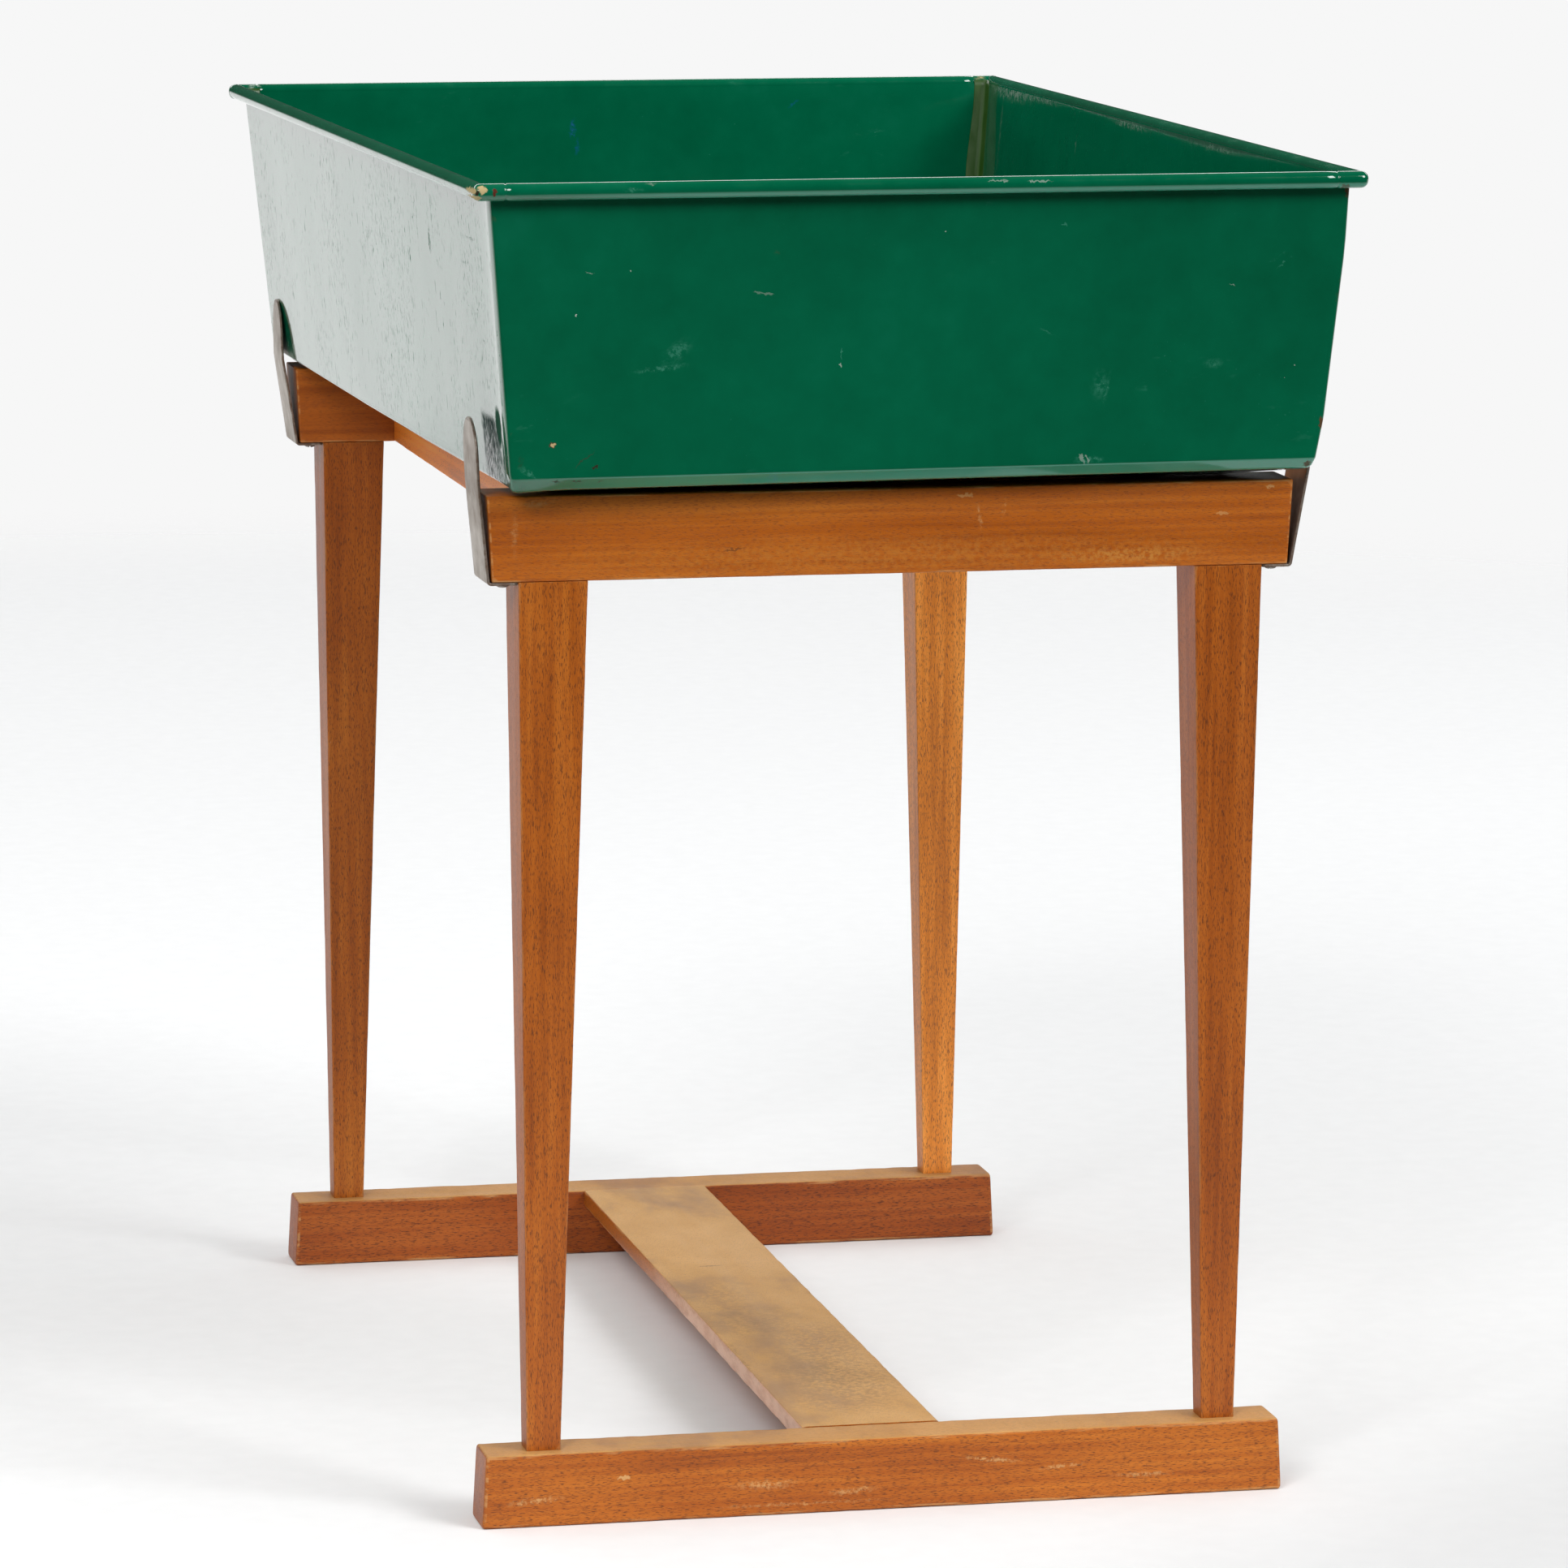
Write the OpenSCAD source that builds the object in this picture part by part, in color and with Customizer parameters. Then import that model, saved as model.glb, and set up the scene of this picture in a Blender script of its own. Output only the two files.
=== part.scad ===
// Open flared metal trough on a wooden trestle stand, held in place by four bent strap clips.
// Millimetres. X runs across the stand, Y along the trough to the rear, Z up from the floor.

/* [Foot rails] */
// Length of each foot rail on the floor
foot_length = 460; // [380:1:560]
// Length of each foot rail along its top
foot_top_length = 455.2; // [370:0.1:560]
// Height of the foot rails
foot_height = 41.6; // [30:0.1:60]
// Thickness of the foot rails, front to rear
foot_thick = 33.4; // [25:0.1:50]
// Distance between the two trestles, centre to centre
trestle_pitch = 676; // [450:1:900]
// Broken edge on the foot rails
foot_arris = 1.4; // [0.4:0.1:3]

/* [Legs] */
// Width of a leg under the top rail
leg_top_width = 38.7; // [28:0.1:50]
// Width of a leg at the foot rail
leg_bottom_width = 19.2; // [14:0.1:30]
// Depth of a leg at the foot rail, front to rear
leg_bottom_depth = 17; // [12:0.1:28]
// Distance of the leg centre from the middle at the top
leg_top_centre = 190.4; // [150:0.1:240]
// Distance of the leg centre from the middle at the foot
leg_bottom_centre = 193.9; // [150:0.1:240]
// Width of the square tenon at the top of a leg
top_tenon = 24; // [14:1:30]
// Length of the tenon at the top of a leg
top_tenon_length = 30; // [15:1:40]
// Width of the square tenon at the bottom of a leg
bottom_tenon = 11; // [8:1:14]
// Length of the tenon at the bottom of a leg
bottom_tenon_length = 26; // [15:1:35]

/* [Top rails] */
// Height of the underside of the top frame above the floor
rail_base = 529.6; // [400:0.1:800]
// Height of the top rails and side rails
rail_height = 47.4; // [35:0.1:70]
// Length of the cross rails along their top
rail_top_length = 454.2; // [360:0.1:560]
// Length of the cross rails along their underside
rail_bottom_length = 448.6; // [350:0.1:560]
// Thickness of the cross rails, front to rear
rail_thick = 40; // [28:0.1:50]
// Broken edge on the rails
rail_arris = 0.8; // [0.3:0.1:2]
// Distance of the side rail outer faces from the middle
side_rail_outer = 164.6; // [120:0.1:220]
// Thickness of the side rails
side_rail_thick = 22; // [16:1:32]
// Diameter of the dowels in the side rails
side_dowel = 8; // [6:1:12]
// Length of the dowels in the side rails
side_dowel_length = 40; // [24:1:60]

/* [Stretcher] */
// Width of the flat board between the foot rails
stretcher_width = 80; // [50:1:120]
// Thickness of the flat board
stretcher_thick = 11; // [9:0.5:20]
// Sideways offset of the flat board
stretcher_offset = -2; // [-10:0.5:10]
// Distance of the dowels from the long edges of the board
board_dowel_edge = 18; // [10:1:30]
// Diameter of the dowels at the ends of the board
board_dowel = 6; // [5:1:8]
// Length of the dowels at the ends of the board
board_dowel_length = 32; // [20:1:40]

/* [Trough] */
// Width of the trough over its rim
trough_width = 500; // [400:1:620]
// Length of the trough over its rim
trough_length = 800; // [600:1:1000]
// Width of the trough at its lower edge
base_width = 454; // [380:1:600]
// Length of the trough at its lower edge
base_length = 756; // [560:1:980]
// Height of the trough from the resting face to the rim
trough_height = 173; // [110:1:260]
// Thickness of the sheet
sheet = 1; // [0.8:0.1:2]
// Diameter of the rolled rim
bead = 9.6; // [7:0.1:14]
// Diameter of the rod inside the rolled rim
rim_rod = 7.5; // [4:0.1:11]
// Height of the lower edge above the resting face
belly_depth = 5.7; // [1:0.1:10]
// Width of the shallow sloping band around the resting face
belly_band = 37.5; // [20:0.5:60]
// Size of the bevel under the end walls
end_bevel = 6; // [2:0.1:12]
// Size of the fold under the side walls
side_fold = 1.6; // [1:0.1:12]
// Turn of the trough on its stand, seen from above
trough_turn = 1.1; // [0:0.1:1.5]
// Difference between the end beads and the side beads
bead_step = 0.2; // [0:0.1:1]
// Gap left between the trough and the rails
rest_gap = 0.3; // [0.3:0.1:1]
// Radius of the solder run inside each corner
solder_radius = 3; // [1.5:0.1:5]

/* [Clips] */
// Thickness of the strap
strap = 1.5; // [1:0.1:3]
// Width of the strap
strap_width = 40; // [20:1:44]
// Inside radius of the strap at the bottom bend
bend_radius = 1; // [0.5:0.1:4]
// Length of the tab under the rail
tab_length = 14; // [10:0.1:14]
// Height of the strap tip above the underside of the rail
clip_height = 89; // [70:1:110]
// Height of the kink above the underside of the rail
kink_height = 53; // [40:1:60]
// Lean of the two free clips below the kink
free_lean = 5.6; // [4:0.1:9]
// Lean of the two free clips above the kink
free_upper_lean = 2.8; // [0:0.1:8]
// Lean of the two clips pushed out by the trough, below the kink
pushed_lean = 10.2; // [9:0.1:16]
// Lean of the two pushed clips above the kink
pushed_upper_lean = 5.1; // [0:0.1:8]
// Height of the flexing line above the underside of the rail
flex_height = 11; // [8:0.5:20]
// Shank diameter of the clip screws
screw_shank = 3.5; // [3:0.1:5]
// Distance of a screw from the middle of its strap
screw_spread = 11; // [6:0.5:14]
// Length of the screw shanks
screw_length = 16; // [10:1:25]
// Head diameter of the clip screws
screw_head = 7; // [5:0.1:9]
// Head height of the clip screws
screw_head_height = 2.2; // [1.5:0.1:4]
// Width of the slot in a screw head
screw_slot = 1; // [0.6:0.1:1.5]
// Depth of the slot in a screw head
screw_slot_depth = 0.9; // [0.5:0.1:1.4]

/* [Hidden] */
$fn = 64;

reach = 2000;
spare = 5;
bore_clearance = 0.1;
tab_clearance = 0.5;
dowel_relief = 1;
bend_steps = 8;
solder_margin = 2;
rod_inset = 0.2;
half_pitch = trestle_pitch / 2;
rail_top = rail_base + rail_height;
rail_end = rail_bottom_length / 2;
leg_height = rail_base - foot_height;
side_rail_length = trestle_pitch - rail_thick;
side_rail_centre = side_rail_outer - side_rail_thick / 2;
side_dowel_rise = rail_height / 4;
side_dowel_bore = side_dowel + bore_clearance;
board_length = trestle_pitch - foot_thick;
board_centre_height = foot_height - stretcher_thick / 2;
board_dowel_spread = stretcher_width / 2 - board_dowel_edge;
board_dowel_bore = board_dowel + bore_clearance;
trough_base = rail_top + rest_gap;
bead_centre = trough_height - bead / 2;
bead_bore = bead - 2 * sheet;
side_bead = bead - bead_step;
bend_offset = 0.3;
butt_gap = 0.3;
screw_inset = tab_length / 2 + bend_offset;
screw_bore = screw_shank + bore_clearance;
tab_bore = screw_shank + tab_clearance;

wood = [0.70, 0.40, 0.15];
worn_wood = [0.68, 0.50, 0.32];
pale_wood = [0.80, 0.66, 0.44];
green = [0.0, 0.34, 0.22];
steel = [0.45, 0.42, 0.39];
dark_steel = [0.30, 0.28, 0.26];
solder = [0.42, 0.46, 0.28];

// Outline with a bottom width, a top width and broken corners
function tapered(low, high, tall, cut) = let(
  step = (high - low) / 2 / tall,
  near = low / 2 + step * cut,
  far = high / 2 - step * cut
) [
  [-low / 2 + cut, 0], [low / 2 - cut, 0], [near, cut], [far, tall - cut],
  [high / 2 - cut, tall], [-high / 2 + cut, tall], [-far, tall - cut], [-near, cut]
];

// Outline whose middle shifts sideways from bottom to top
function leaning(low, high, shift_low, shift_high, tall) = [
  [shift_low - low / 2, 0], [shift_low + low / 2, 0],
  [shift_high + high / 2, tall], [shift_high - high / 2, tall]
];

// Solid common to a front outline and a side outline
module shaped(front, side) {
  intersection() {
    rotate([90, 0, 0])
      translate([0, 0, -reach / 2])
        linear_extrude(reach)
          polygon(front);
    rotate([90, 0, 90])
      translate([0, 0, -reach / 2])
        linear_extrude(reach)
          polygon(side);
  }
}

// ---------- foot rails ----------
module foot_body() {
  shaped(
    tapered(foot_length, foot_top_length, foot_height, foot_arris),
    tapered(foot_thick, foot_thick, foot_height, foot_arris)
  );
}

// Foot rail with mortises for the legs
module foot_rail() {
  difference() {
    foot_body();
    for (side = [-1, 1])
      translate([
        side * leg_bottom_centre - bottom_tenon / 2,
        -bottom_tenon / 2,
        foot_height - bottom_tenon_length
      ])
        cube([bottom_tenon, bottom_tenon, bottom_tenon_length + spare]);
  }
}

module board_dowel_holes() {
  for (side = [-1, 1])
    translate([
      stretcher_offset + side * board_dowel_spread,
      0,
      board_centre_height
    ])
      rotate([90, 0, 0])
        cylinder(d = board_dowel_bore, h = board_dowel_length + dowel_relief, center = true);
}

module front_foot_rail() {
  color(wood)
    difference() {
      translate([0, -half_pitch, 0])
        foot_rail();
      translate([0, -board_length / 2, 0])
        board_dowel_holes();
    }
}

module rear_foot_rail() {
  color(wood)
    difference() {
      translate([0, half_pitch, 0])
        foot_rail();
      translate([0, board_length / 2, 0])
        board_dowel_holes();
    }
}

// ---------- legs ----------
module right_leg() {
  translate([0, 0, foot_height])
    shaped(
      leaning(leg_bottom_width, leg_top_width, leg_bottom_centre, leg_top_centre, leg_height),
      leaning(leg_bottom_depth, rail_thick, 0, 0, leg_height)
    );
  translate([
    leg_top_centre - top_tenon / 2,
    -top_tenon / 2,
    rail_base - spare
  ])
    cube([top_tenon, top_tenon, top_tenon_length + spare]);
  translate([
    leg_bottom_centre - bottom_tenon / 2,
    -bottom_tenon / 2,
    foot_height - bottom_tenon_length
  ])
    cube([bottom_tenon, bottom_tenon, bottom_tenon_length + spare]);
}

module front_right_leg() {
  color(wood)
    translate([0, -half_pitch, 0])
      right_leg();
}

module front_left_leg() {
  color(wood)
    translate([0, -half_pitch, 0])
      mirror([1, 0, 0])
        right_leg();
}

module rear_right_leg() {
  color(wood)
    translate([0, half_pitch, 0])
      right_leg();
}

module rear_left_leg() {
  color(wood)
    translate([0, half_pitch, 0])
      mirror([1, 0, 0])
        right_leg();
}

// ---------- top frame ----------
module side_dowel_pair(diameter, tall) {
  for (side = [-1, 1])
    for (rise = [-1, 1])
      translate([
        side * side_rail_centre,
        0,
        rail_base + rail_height / 2 + rise * side_dowel_rise
      ])
        rotate([90, 0, 0])
          cylinder(d = diameter, h = tall, center = true);
}

// Cross rail with mortises, dowel holes on its inner side and pilot holes for the clip screws
module cross_rail() {
  difference() {
    translate([0, 0, rail_base])
      shaped(
        tapered(rail_bottom_length, rail_top_length, rail_height, rail_arris),
        tapered(rail_thick, rail_thick, rail_height, rail_arris)
      );
    for (side = [-1, 1])
      translate([
        side * leg_top_centre - top_tenon / 2,
        -top_tenon / 2,
        rail_base - spare
      ])
        cube([top_tenon, top_tenon, top_tenon_length + spare]);
    for (side = [-1, 1])
      for (spread = [-1, 1])
        translate([
          side * (rail_end - screw_inset),
          spread * screw_spread,
          rail_base - spare
        ])
          cylinder(d = screw_bore, h = screw_length + spare);
  }
}

module front_top_rail() {
  color(wood)
    difference() {
      translate([0, -half_pitch, 0])
        cross_rail();
      translate([0, -side_rail_length / 2, 0])
        side_dowel_pair(side_dowel_bore, side_dowel_length + dowel_relief);
    }
}

module rear_top_rail() {
  color(wood)
    difference() {
      translate([0, half_pitch, 0])
        cross_rail();
      translate([0, side_rail_length / 2, 0])
        side_dowel_pair(side_dowel_bore, side_dowel_length + dowel_relief);
    }
}

module side_rail(side) {
  difference() {
    translate([side * side_rail_centre, 0, rail_base + rail_height / 2])
      cube([side_rail_thick, side_rail_length, rail_height], center = true);
    for (end = [-1, 1])
      translate([0, end * side_rail_length / 2, 0])
        side_dowel_pair(side_dowel_bore, side_dowel_length + dowel_relief);
  }
}

module left_side_rail() {
  color(wood)
    side_rail(-1);
}

module right_side_rail() {
  color(wood)
    side_rail(1);
}

module side_rail_dowels() {
  color(pale_wood)
    for (end = [-1, 1])
      translate([0, end * side_rail_length / 2, 0])
        side_dowel_pair(side_dowel, side_dowel_length);
}

// ---------- stretcher ----------
module stretcher_board() {
  color(worn_wood)
    difference() {
      translate([stretcher_offset, 0, board_centre_height])
        cube([stretcher_width, board_length, stretcher_thick], center = true);
      for (end = [-1, 1])
        translate([0, end * board_length / 2, 0])
          board_dowel_holes();
    }
}

module stretcher_dowels() {
  color(pale_wood)
    for (end = [-1, 1])
      for (side = [-1, 1])
        translate([
          stretcher_offset + side * board_dowel_spread,
          end * board_length / 2,
          board_centre_height
        ])
          rotate([90, 0, 0])
            cylinder(d = board_dowel, h = board_dowel_length, center = true);
}

// ---------- strap clips ----------
// Points on the bottom bend at a given radius, from straight down round to the lean of the arm
function bend_arc(radius, lean) = [
  for (turn = [0 : 1 / bend_steps : 1])
    let(angle = -90 + turn * (90 - lean))
      [bend_offset + radius * cos(angle), bend_radius + radius * sin(angle)]
];

function reversed(points) = [for (place = [len(points) - 1 : -1 : 0]) points[place]];

// Outline of the whole bent strap, drawn outward from the lower corner of the rail end
module strap_outline(lean, upper_lean) {
  inner_arc = bend_arc(bend_radius, lean);
  outer_arc = bend_arc(bend_radius + strap, lean);
  start = inner_arc[len(inner_arc) - 1];
  kink = [start[0] + (kink_height - start[1]) * tan(lean), kink_height];
  top = [kink[0] + (clip_height - kink_height) * tan(upper_lean), clip_height];
  polygon(concat(
    [[-tab_length, 0]],
    inner_arc,
    [kink, top, [top[0] + strap / cos(upper_lean), top[1]], [kink[0] + strap / cos(lean), kink[1]]],
    reversed(outer_arc),
    [[-tab_length, -strap]]
  ));
}

// Whole strap on the right-hand side, its width along Y, with a round tip
module strap_solid(lean, upper_lean) {
  intersection() {
    translate([rail_end, 0, rail_base])
      rotate([90, 0, 0])
        translate([0, 0, -strap_width / 2])
          linear_extrude(strap_width)
            strap_outline(lean, upper_lean);
    translate([0, 0, rail_base])
      rotate([90, 0, 90])
        linear_extrude(reach) {
          translate([0, clip_height - strap_width / 2])
            circle(d = strap_width);
          translate([-strap_width / 2, -spare])
            square([strap_width, clip_height - strap_width / 2 + spare]);
        }
  }
}

// Fixed part of the strap: tab, bend and the first stretch of the arm
module strap_foot(lean, upper_lean) {
  difference() {
    strap_solid(lean, upper_lean);
    translate([0, -reach / 2, rail_base + flex_height - butt_gap / 2])
      cube([reach, reach, reach]);
    for (spread = [-1, 1])
      translate([rail_end - screw_inset, spread * screw_spread, rail_base - strap - spare])
        cylinder(d = tab_bore, h = strap + 2 * spare);
  }
}

// Flexing part of the strap above the fixed part
module strap_arm(lean, upper_lean) {
  difference() {
    strap_solid(lean, upper_lean);
    translate([0, -reach / 2, rail_base + flex_height + butt_gap / 2 - reach])
      cube([reach, reach, reach]);
  }
}

module front_left_clip_foot() {
  color(steel)
    translate([0, -half_pitch, 0])
      mirror([1, 0, 0])
        strap_foot(free_lean, free_upper_lean);
}

module front_left_clip_arm() {
  color(steel)
    translate([0, -half_pitch, 0])
      mirror([1, 0, 0])
        strap_arm(free_lean, free_upper_lean);
}

module front_right_clip_foot() {
  color(steel)
    translate([0, -half_pitch, 0])
      strap_foot(pushed_lean, pushed_upper_lean);
}

module front_right_clip_arm() {
  color(steel)
    translate([0, -half_pitch, 0])
      strap_arm(pushed_lean, pushed_upper_lean);
}

module rear_left_clip_foot() {
  color(steel)
    translate([0, half_pitch, 0])
      mirror([1, 0, 0])
        strap_foot(pushed_lean, pushed_upper_lean);
}

module rear_left_clip_arm() {
  color(steel)
    translate([0, half_pitch, 0])
      mirror([1, 0, 0])
        strap_arm(pushed_lean, pushed_upper_lean);
}

module rear_right_clip_foot() {
  color(steel)
    translate([0, half_pitch, 0])
      strap_foot(free_lean, free_upper_lean);
}

module rear_right_clip_arm() {
  color(steel)
    translate([0, half_pitch, 0])
      strap_arm(free_lean, free_upper_lean);
}

// Round-headed slotted screw, driven upward
module clip_screw() {
  translate([0, 0, -screw_head_height])
    difference() {
      cylinder(d = screw_head, h = screw_head_height);
      translate([-screw_head, -screw_slot / 2, -spare])
        cube([2 * screw_head, screw_slot, spare + screw_slot_depth]);
    }
  cylinder(d = screw_shank, h = screw_length);
}

module clip_screws() {
  color(dark_steel)
    for (end = [-1, 1])
      for (side = [-1, 1])
        for (spread = [-1, 1])
          translate([
            side * (rail_end - screw_inset),
            end * half_pitch + spread * screw_spread,
            rail_base - strap
          ])
            clip_screw();
}

// ---------- trough ----------
// Slope of a wall, and of the shallow band under it
function wall_step(rim, base) = ((rim / 2 - bead + sheet) - base / 2) / (bead_centre - belly_depth);
function band_step() = belly_depth / belly_band;

// Right-hand edge of a trough section for a rim size, a base size, a fold size and an inset
function edge_points(rim, base, fold, inset) = let(
  step = wall_step(rim, base),
  wall_shift = inset * sqrt(1 + step * step),
  wall_low = base / 2 - wall_shift,
  foot_x = base / 2 - fold,
  bevel_shift = inset * sqrt(2),
  band = band_step(),
  band_shift = inset * sqrt(1 + band * band),
  // wall meets bevel: x = wall_low + step * (z - belly_depth) and z - belly_depth = x - foot_x + bevel_shift
  wall_rise = (wall_low - foot_x + bevel_shift) / (1 - step),
  // bevel meets band: z = belly_depth + x - foot_x + bevel_shift and z = belly_depth + band * (x - foot_x) + band_shift
  band_x = foot_x + (band_shift - bevel_shift) / (1 - band),
  band_z = belly_depth + band_x - foot_x + bevel_shift,
  // band meets the flat bottom at z = inset
  flat_x = foot_x - (belly_depth + band_shift - inset) / band
) [
  [flat_x, inset],
  [band_x, band_z],
  [wall_low + step * wall_rise, belly_depth + wall_rise],
  [wall_low + step * (bead_centre - belly_depth), bead_centre]
];

function section(rim, base, fold, inset, top) = let(
  right = edge_points(rim, base, fold, inset),
  high = right[3][0]
) [
  right[0], right[1], right[2], right[3],
  [high, top], [-high, top],
  [-right[3][0], right[3][1]], [-right[2][0], right[2][1]],
  [-right[1][0], right[1][1]], [-right[0][0], right[0][1]]
];

module trough_outside() {
  shaped(
    section(trough_width, base_width, side_fold, 0, bead_centre),
    section(trough_length, base_length, end_bevel, 0, bead_centre)
  );
}

module trough_inside() {
  shaped(
    section(trough_width, base_width, side_fold, sheet, trough_height + spare),
    section(trough_length, base_length, end_bevel, sheet, trough_height + spare)
  );
}

// Straight runs of the rim: full-width runs at the ends, side runs between them
module rim_runs(end_diameter, side_diameter, end_length) {
  for (end = [-1, 1])
    translate([0, end * (trough_length - bead) / 2, bead_centre])
      rotate([0, 90, 0])
        cylinder(d = end_diameter, h = end_length, center = true);
  for (side = [-1, 1])
    translate([side * (trough_width - bead) / 2, 0, bead_centre])
      rotate([90, 0, 0])
        cylinder(d = side_diameter, h = trough_length - bead, center = true);
}

module placed_trough() {
  translate([0, 0, trough_base])
    rotate([0, 0, trough_turn])
      children();
}

module tray_pan() {
  color(green)
    placed_trough()
      difference() {
        union() {
          trough_outside();
          rim_runs(bead, side_bead, trough_width);
        }
        trough_inside();
        rim_runs(bead_bore, bead_bore - bead_step, trough_width + spare);
      }
}

module rim_rods() {
  color(dark_steel)
    placed_trough() {
      for (end = [-1, 1])
        translate([0, end * (trough_length - bead) / 2, bead_centre])
          rotate([0, 90, 0])
            cylinder(d = rim_rod, h = trough_width - 2 * rod_inset, center = true);
      for (side = [-1, 1])
        translate([side * (trough_width - bead) / 2, 0, bead_centre])
          rotate([90, 0, 0])
            cylinder(d = rim_rod - bead_step, h = trough_length - 2 * bead - spare, center = true);
    }
}

// Solder run in one inside corner, following the slanted corner edge
module solder_run() {
  across = edge_points(trough_width, base_width, side_fold, sheet);
  along = edge_points(trough_length, base_length, end_bevel, sheet);
  high = [across[3][0], along[3][0], bead_centre];
  slope_x = wall_step(trough_width, base_width);
  slope_y = wall_step(trough_length, base_length);
  low = along[2][1] + solder_margin;
  rise = bead_centre - solder_margin - low;
  start = [high[0] - slope_x * (bead_centre - low), high[1] - slope_y * (bead_centre - low), low];
  direction = [slope_x * rise, slope_y * rise, rise];
  run = norm(direction);
  tilt = acos(direction[2] / run);
  turn = atan2(direction[1], direction[0]);
  intersection() {
    translate(start)
      rotate([0, tilt, turn])
        cylinder(r = solder_radius, h = run);
    trough_inside();
  }
}

module corner_solder() {
  color(solder)
    placed_trough()
      for (across = [0, 1])
        for (along = [0, 1])
          mirror([across, 0, 0])
            mirror([0, along, 0])
              solder_run();
}

front_top_rail();
rear_top_rail();
left_side_rail();
right_side_rail();
front_left_leg();
front_right_leg();
rear_left_leg();
rear_right_leg();
front_foot_rail();
rear_foot_rail();
stretcher_board();
side_rail_dowels();
stretcher_dowels();
front_left_clip_foot();
front_right_clip_foot();
rear_left_clip_foot();
rear_right_clip_foot();
front_left_clip_arm();
front_right_clip_arm();
rear_left_clip_arm();
rear_right_clip_arm();
clip_screws();
tray_pan();
rim_rods();
corner_solder();
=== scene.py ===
"""Open flared metal trough on a wooden trestle stand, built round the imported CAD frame.

Metres. X runs across the stand, Y along the trough to the rear, Z up from the floor.
"""

import math

import bmesh
import bpy
from mathutils import Matrix, Vector, noise


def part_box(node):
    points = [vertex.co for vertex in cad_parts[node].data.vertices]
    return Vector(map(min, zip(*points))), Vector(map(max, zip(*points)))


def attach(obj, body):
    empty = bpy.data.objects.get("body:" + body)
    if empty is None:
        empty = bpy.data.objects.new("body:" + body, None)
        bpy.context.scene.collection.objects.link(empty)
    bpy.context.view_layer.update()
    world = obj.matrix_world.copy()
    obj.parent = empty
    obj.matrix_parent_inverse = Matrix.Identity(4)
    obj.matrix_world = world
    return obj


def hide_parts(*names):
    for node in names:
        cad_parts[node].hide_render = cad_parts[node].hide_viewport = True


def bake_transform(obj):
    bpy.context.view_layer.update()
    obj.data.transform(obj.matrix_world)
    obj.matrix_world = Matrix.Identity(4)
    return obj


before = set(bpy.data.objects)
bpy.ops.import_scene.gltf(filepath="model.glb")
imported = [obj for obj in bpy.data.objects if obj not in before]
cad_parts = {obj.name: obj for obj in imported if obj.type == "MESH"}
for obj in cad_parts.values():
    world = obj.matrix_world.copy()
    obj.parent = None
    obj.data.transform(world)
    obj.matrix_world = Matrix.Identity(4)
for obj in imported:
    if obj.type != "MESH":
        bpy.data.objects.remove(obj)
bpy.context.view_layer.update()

MM = 0.001

# ---- sizes
FOOT_LOW, FOOT_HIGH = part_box("front_foot_rail")
RAIL_LOW, RAIL_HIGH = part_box("front_top_rail")
SIDE_LOW, SIDE_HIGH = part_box("right_side_rail")
BOARD_LOW, BOARD_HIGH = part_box("stretcher_board")
TRAY_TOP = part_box("tray_pan")[1].z

TRESTLE_Y = -(RAIL_LOW.y + RAIL_HIGH.y) / 2
FOOT_TOP = FOOT_HIGH.z
RAIL_BASE = RAIL_LOW.z
RAIL_TOP = RAIL_HIGH.z
FOOT_HALF = (FOOT_HIGH.x - FOOT_LOW.x) / 2
FOOT_TOP_HALF = 227.6 * MM
RAIL_HALF = (RAIL_HIGH.x - RAIL_LOW.x) / 2
RAIL_BASE_HALF = 224.3 * MM

# A leg's distance from the middle, its width and its depth
LEG_TOP = Vector((190.4, 38.7, 40.0)) * MM
LEG_FOOT = Vector((193.9, 19.2, 17.0)) * MM

TROUGH_BASE = RAIL_TOP + 0.3 * MM
TROUGH_TURN = math.radians(1.1)
TROUGH_HEIGHT = TRAY_TOP - TROUGH_BASE
RIM_HALF_X = 250.0 * MM
RIM_HALF_Y = 400.0 * MM
BASE_HALF_X = 227.0 * MM
BASE_HALF_Y = 378.0 * MM
SHEET = 1.0 * MM
WALL_CORNER = 2.2 * MM
INNER_CORNER = 1.4 * MM
RIM_SPREAD = 4.0 * MM
BEAD = 4.8 * MM
BEAD_TIP = 0.35 * MM
SIDE_BEAD = 4.7 * MM
ROD_HALF = 3.7 * MM
ROD_TRIM = 2.0 * MM
SEAM = 18.0 * MM
SEAM_HALF = 0.45 * MM
SEAM_DEPTH = 0.35 * MM
BELLY = 5.7 * MM
BAND = 37.5 * MM
END_BEVEL = 6.0 * MM
SIDE_FOLD = 1.6 * MM
BEAD_Z = TROUGH_HEIGHT - BEAD

STRAP = 1.5 * MM
STRAP_HALF = 20.0 * MM
TAB = 14.0 * MM
CLIP_TOP = 89.0 * MM
KINK = 53.0 * MM
TIP_START = CLIP_TOP - STRAP_HALF
BEND_OFFSET = 0.3 * MM
BEND_RADIUS = 1.0 * MM
SCREW_SPREAD = 11.0 * MM
SCREW_INSET = 7.3 * MM
SCREW_HEAD = 3.5 * MM
SCREW_HEIGHT = 2.2 * MM
SLOT_HALF = 0.15

# Degrees from upright, below and above the kink
FREE_LEAN = (5.6, 2.8)
PUSHED_LEAN = (10.2, 5.1)
REAR_LEFT_LEAN = (9.5, 2.2)

# Names of the ends and sides, with their signs along Y and X
ENDS = (("front", -1), ("rear", 1))
HANDS = (("left", -1), ("right", 1))

SMOOTH_BORDER = 2.5 * MM
JOINT_EDGE = 0.15 * MM
TIMBER_STEP = 6.0 * MM
WALL_STEPS = {"front": 30, "right": 90, "rear": 30, "left": 90}
QUARTER_TURN = [math.radians(22.5 * step) for step in range(5)]
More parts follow.
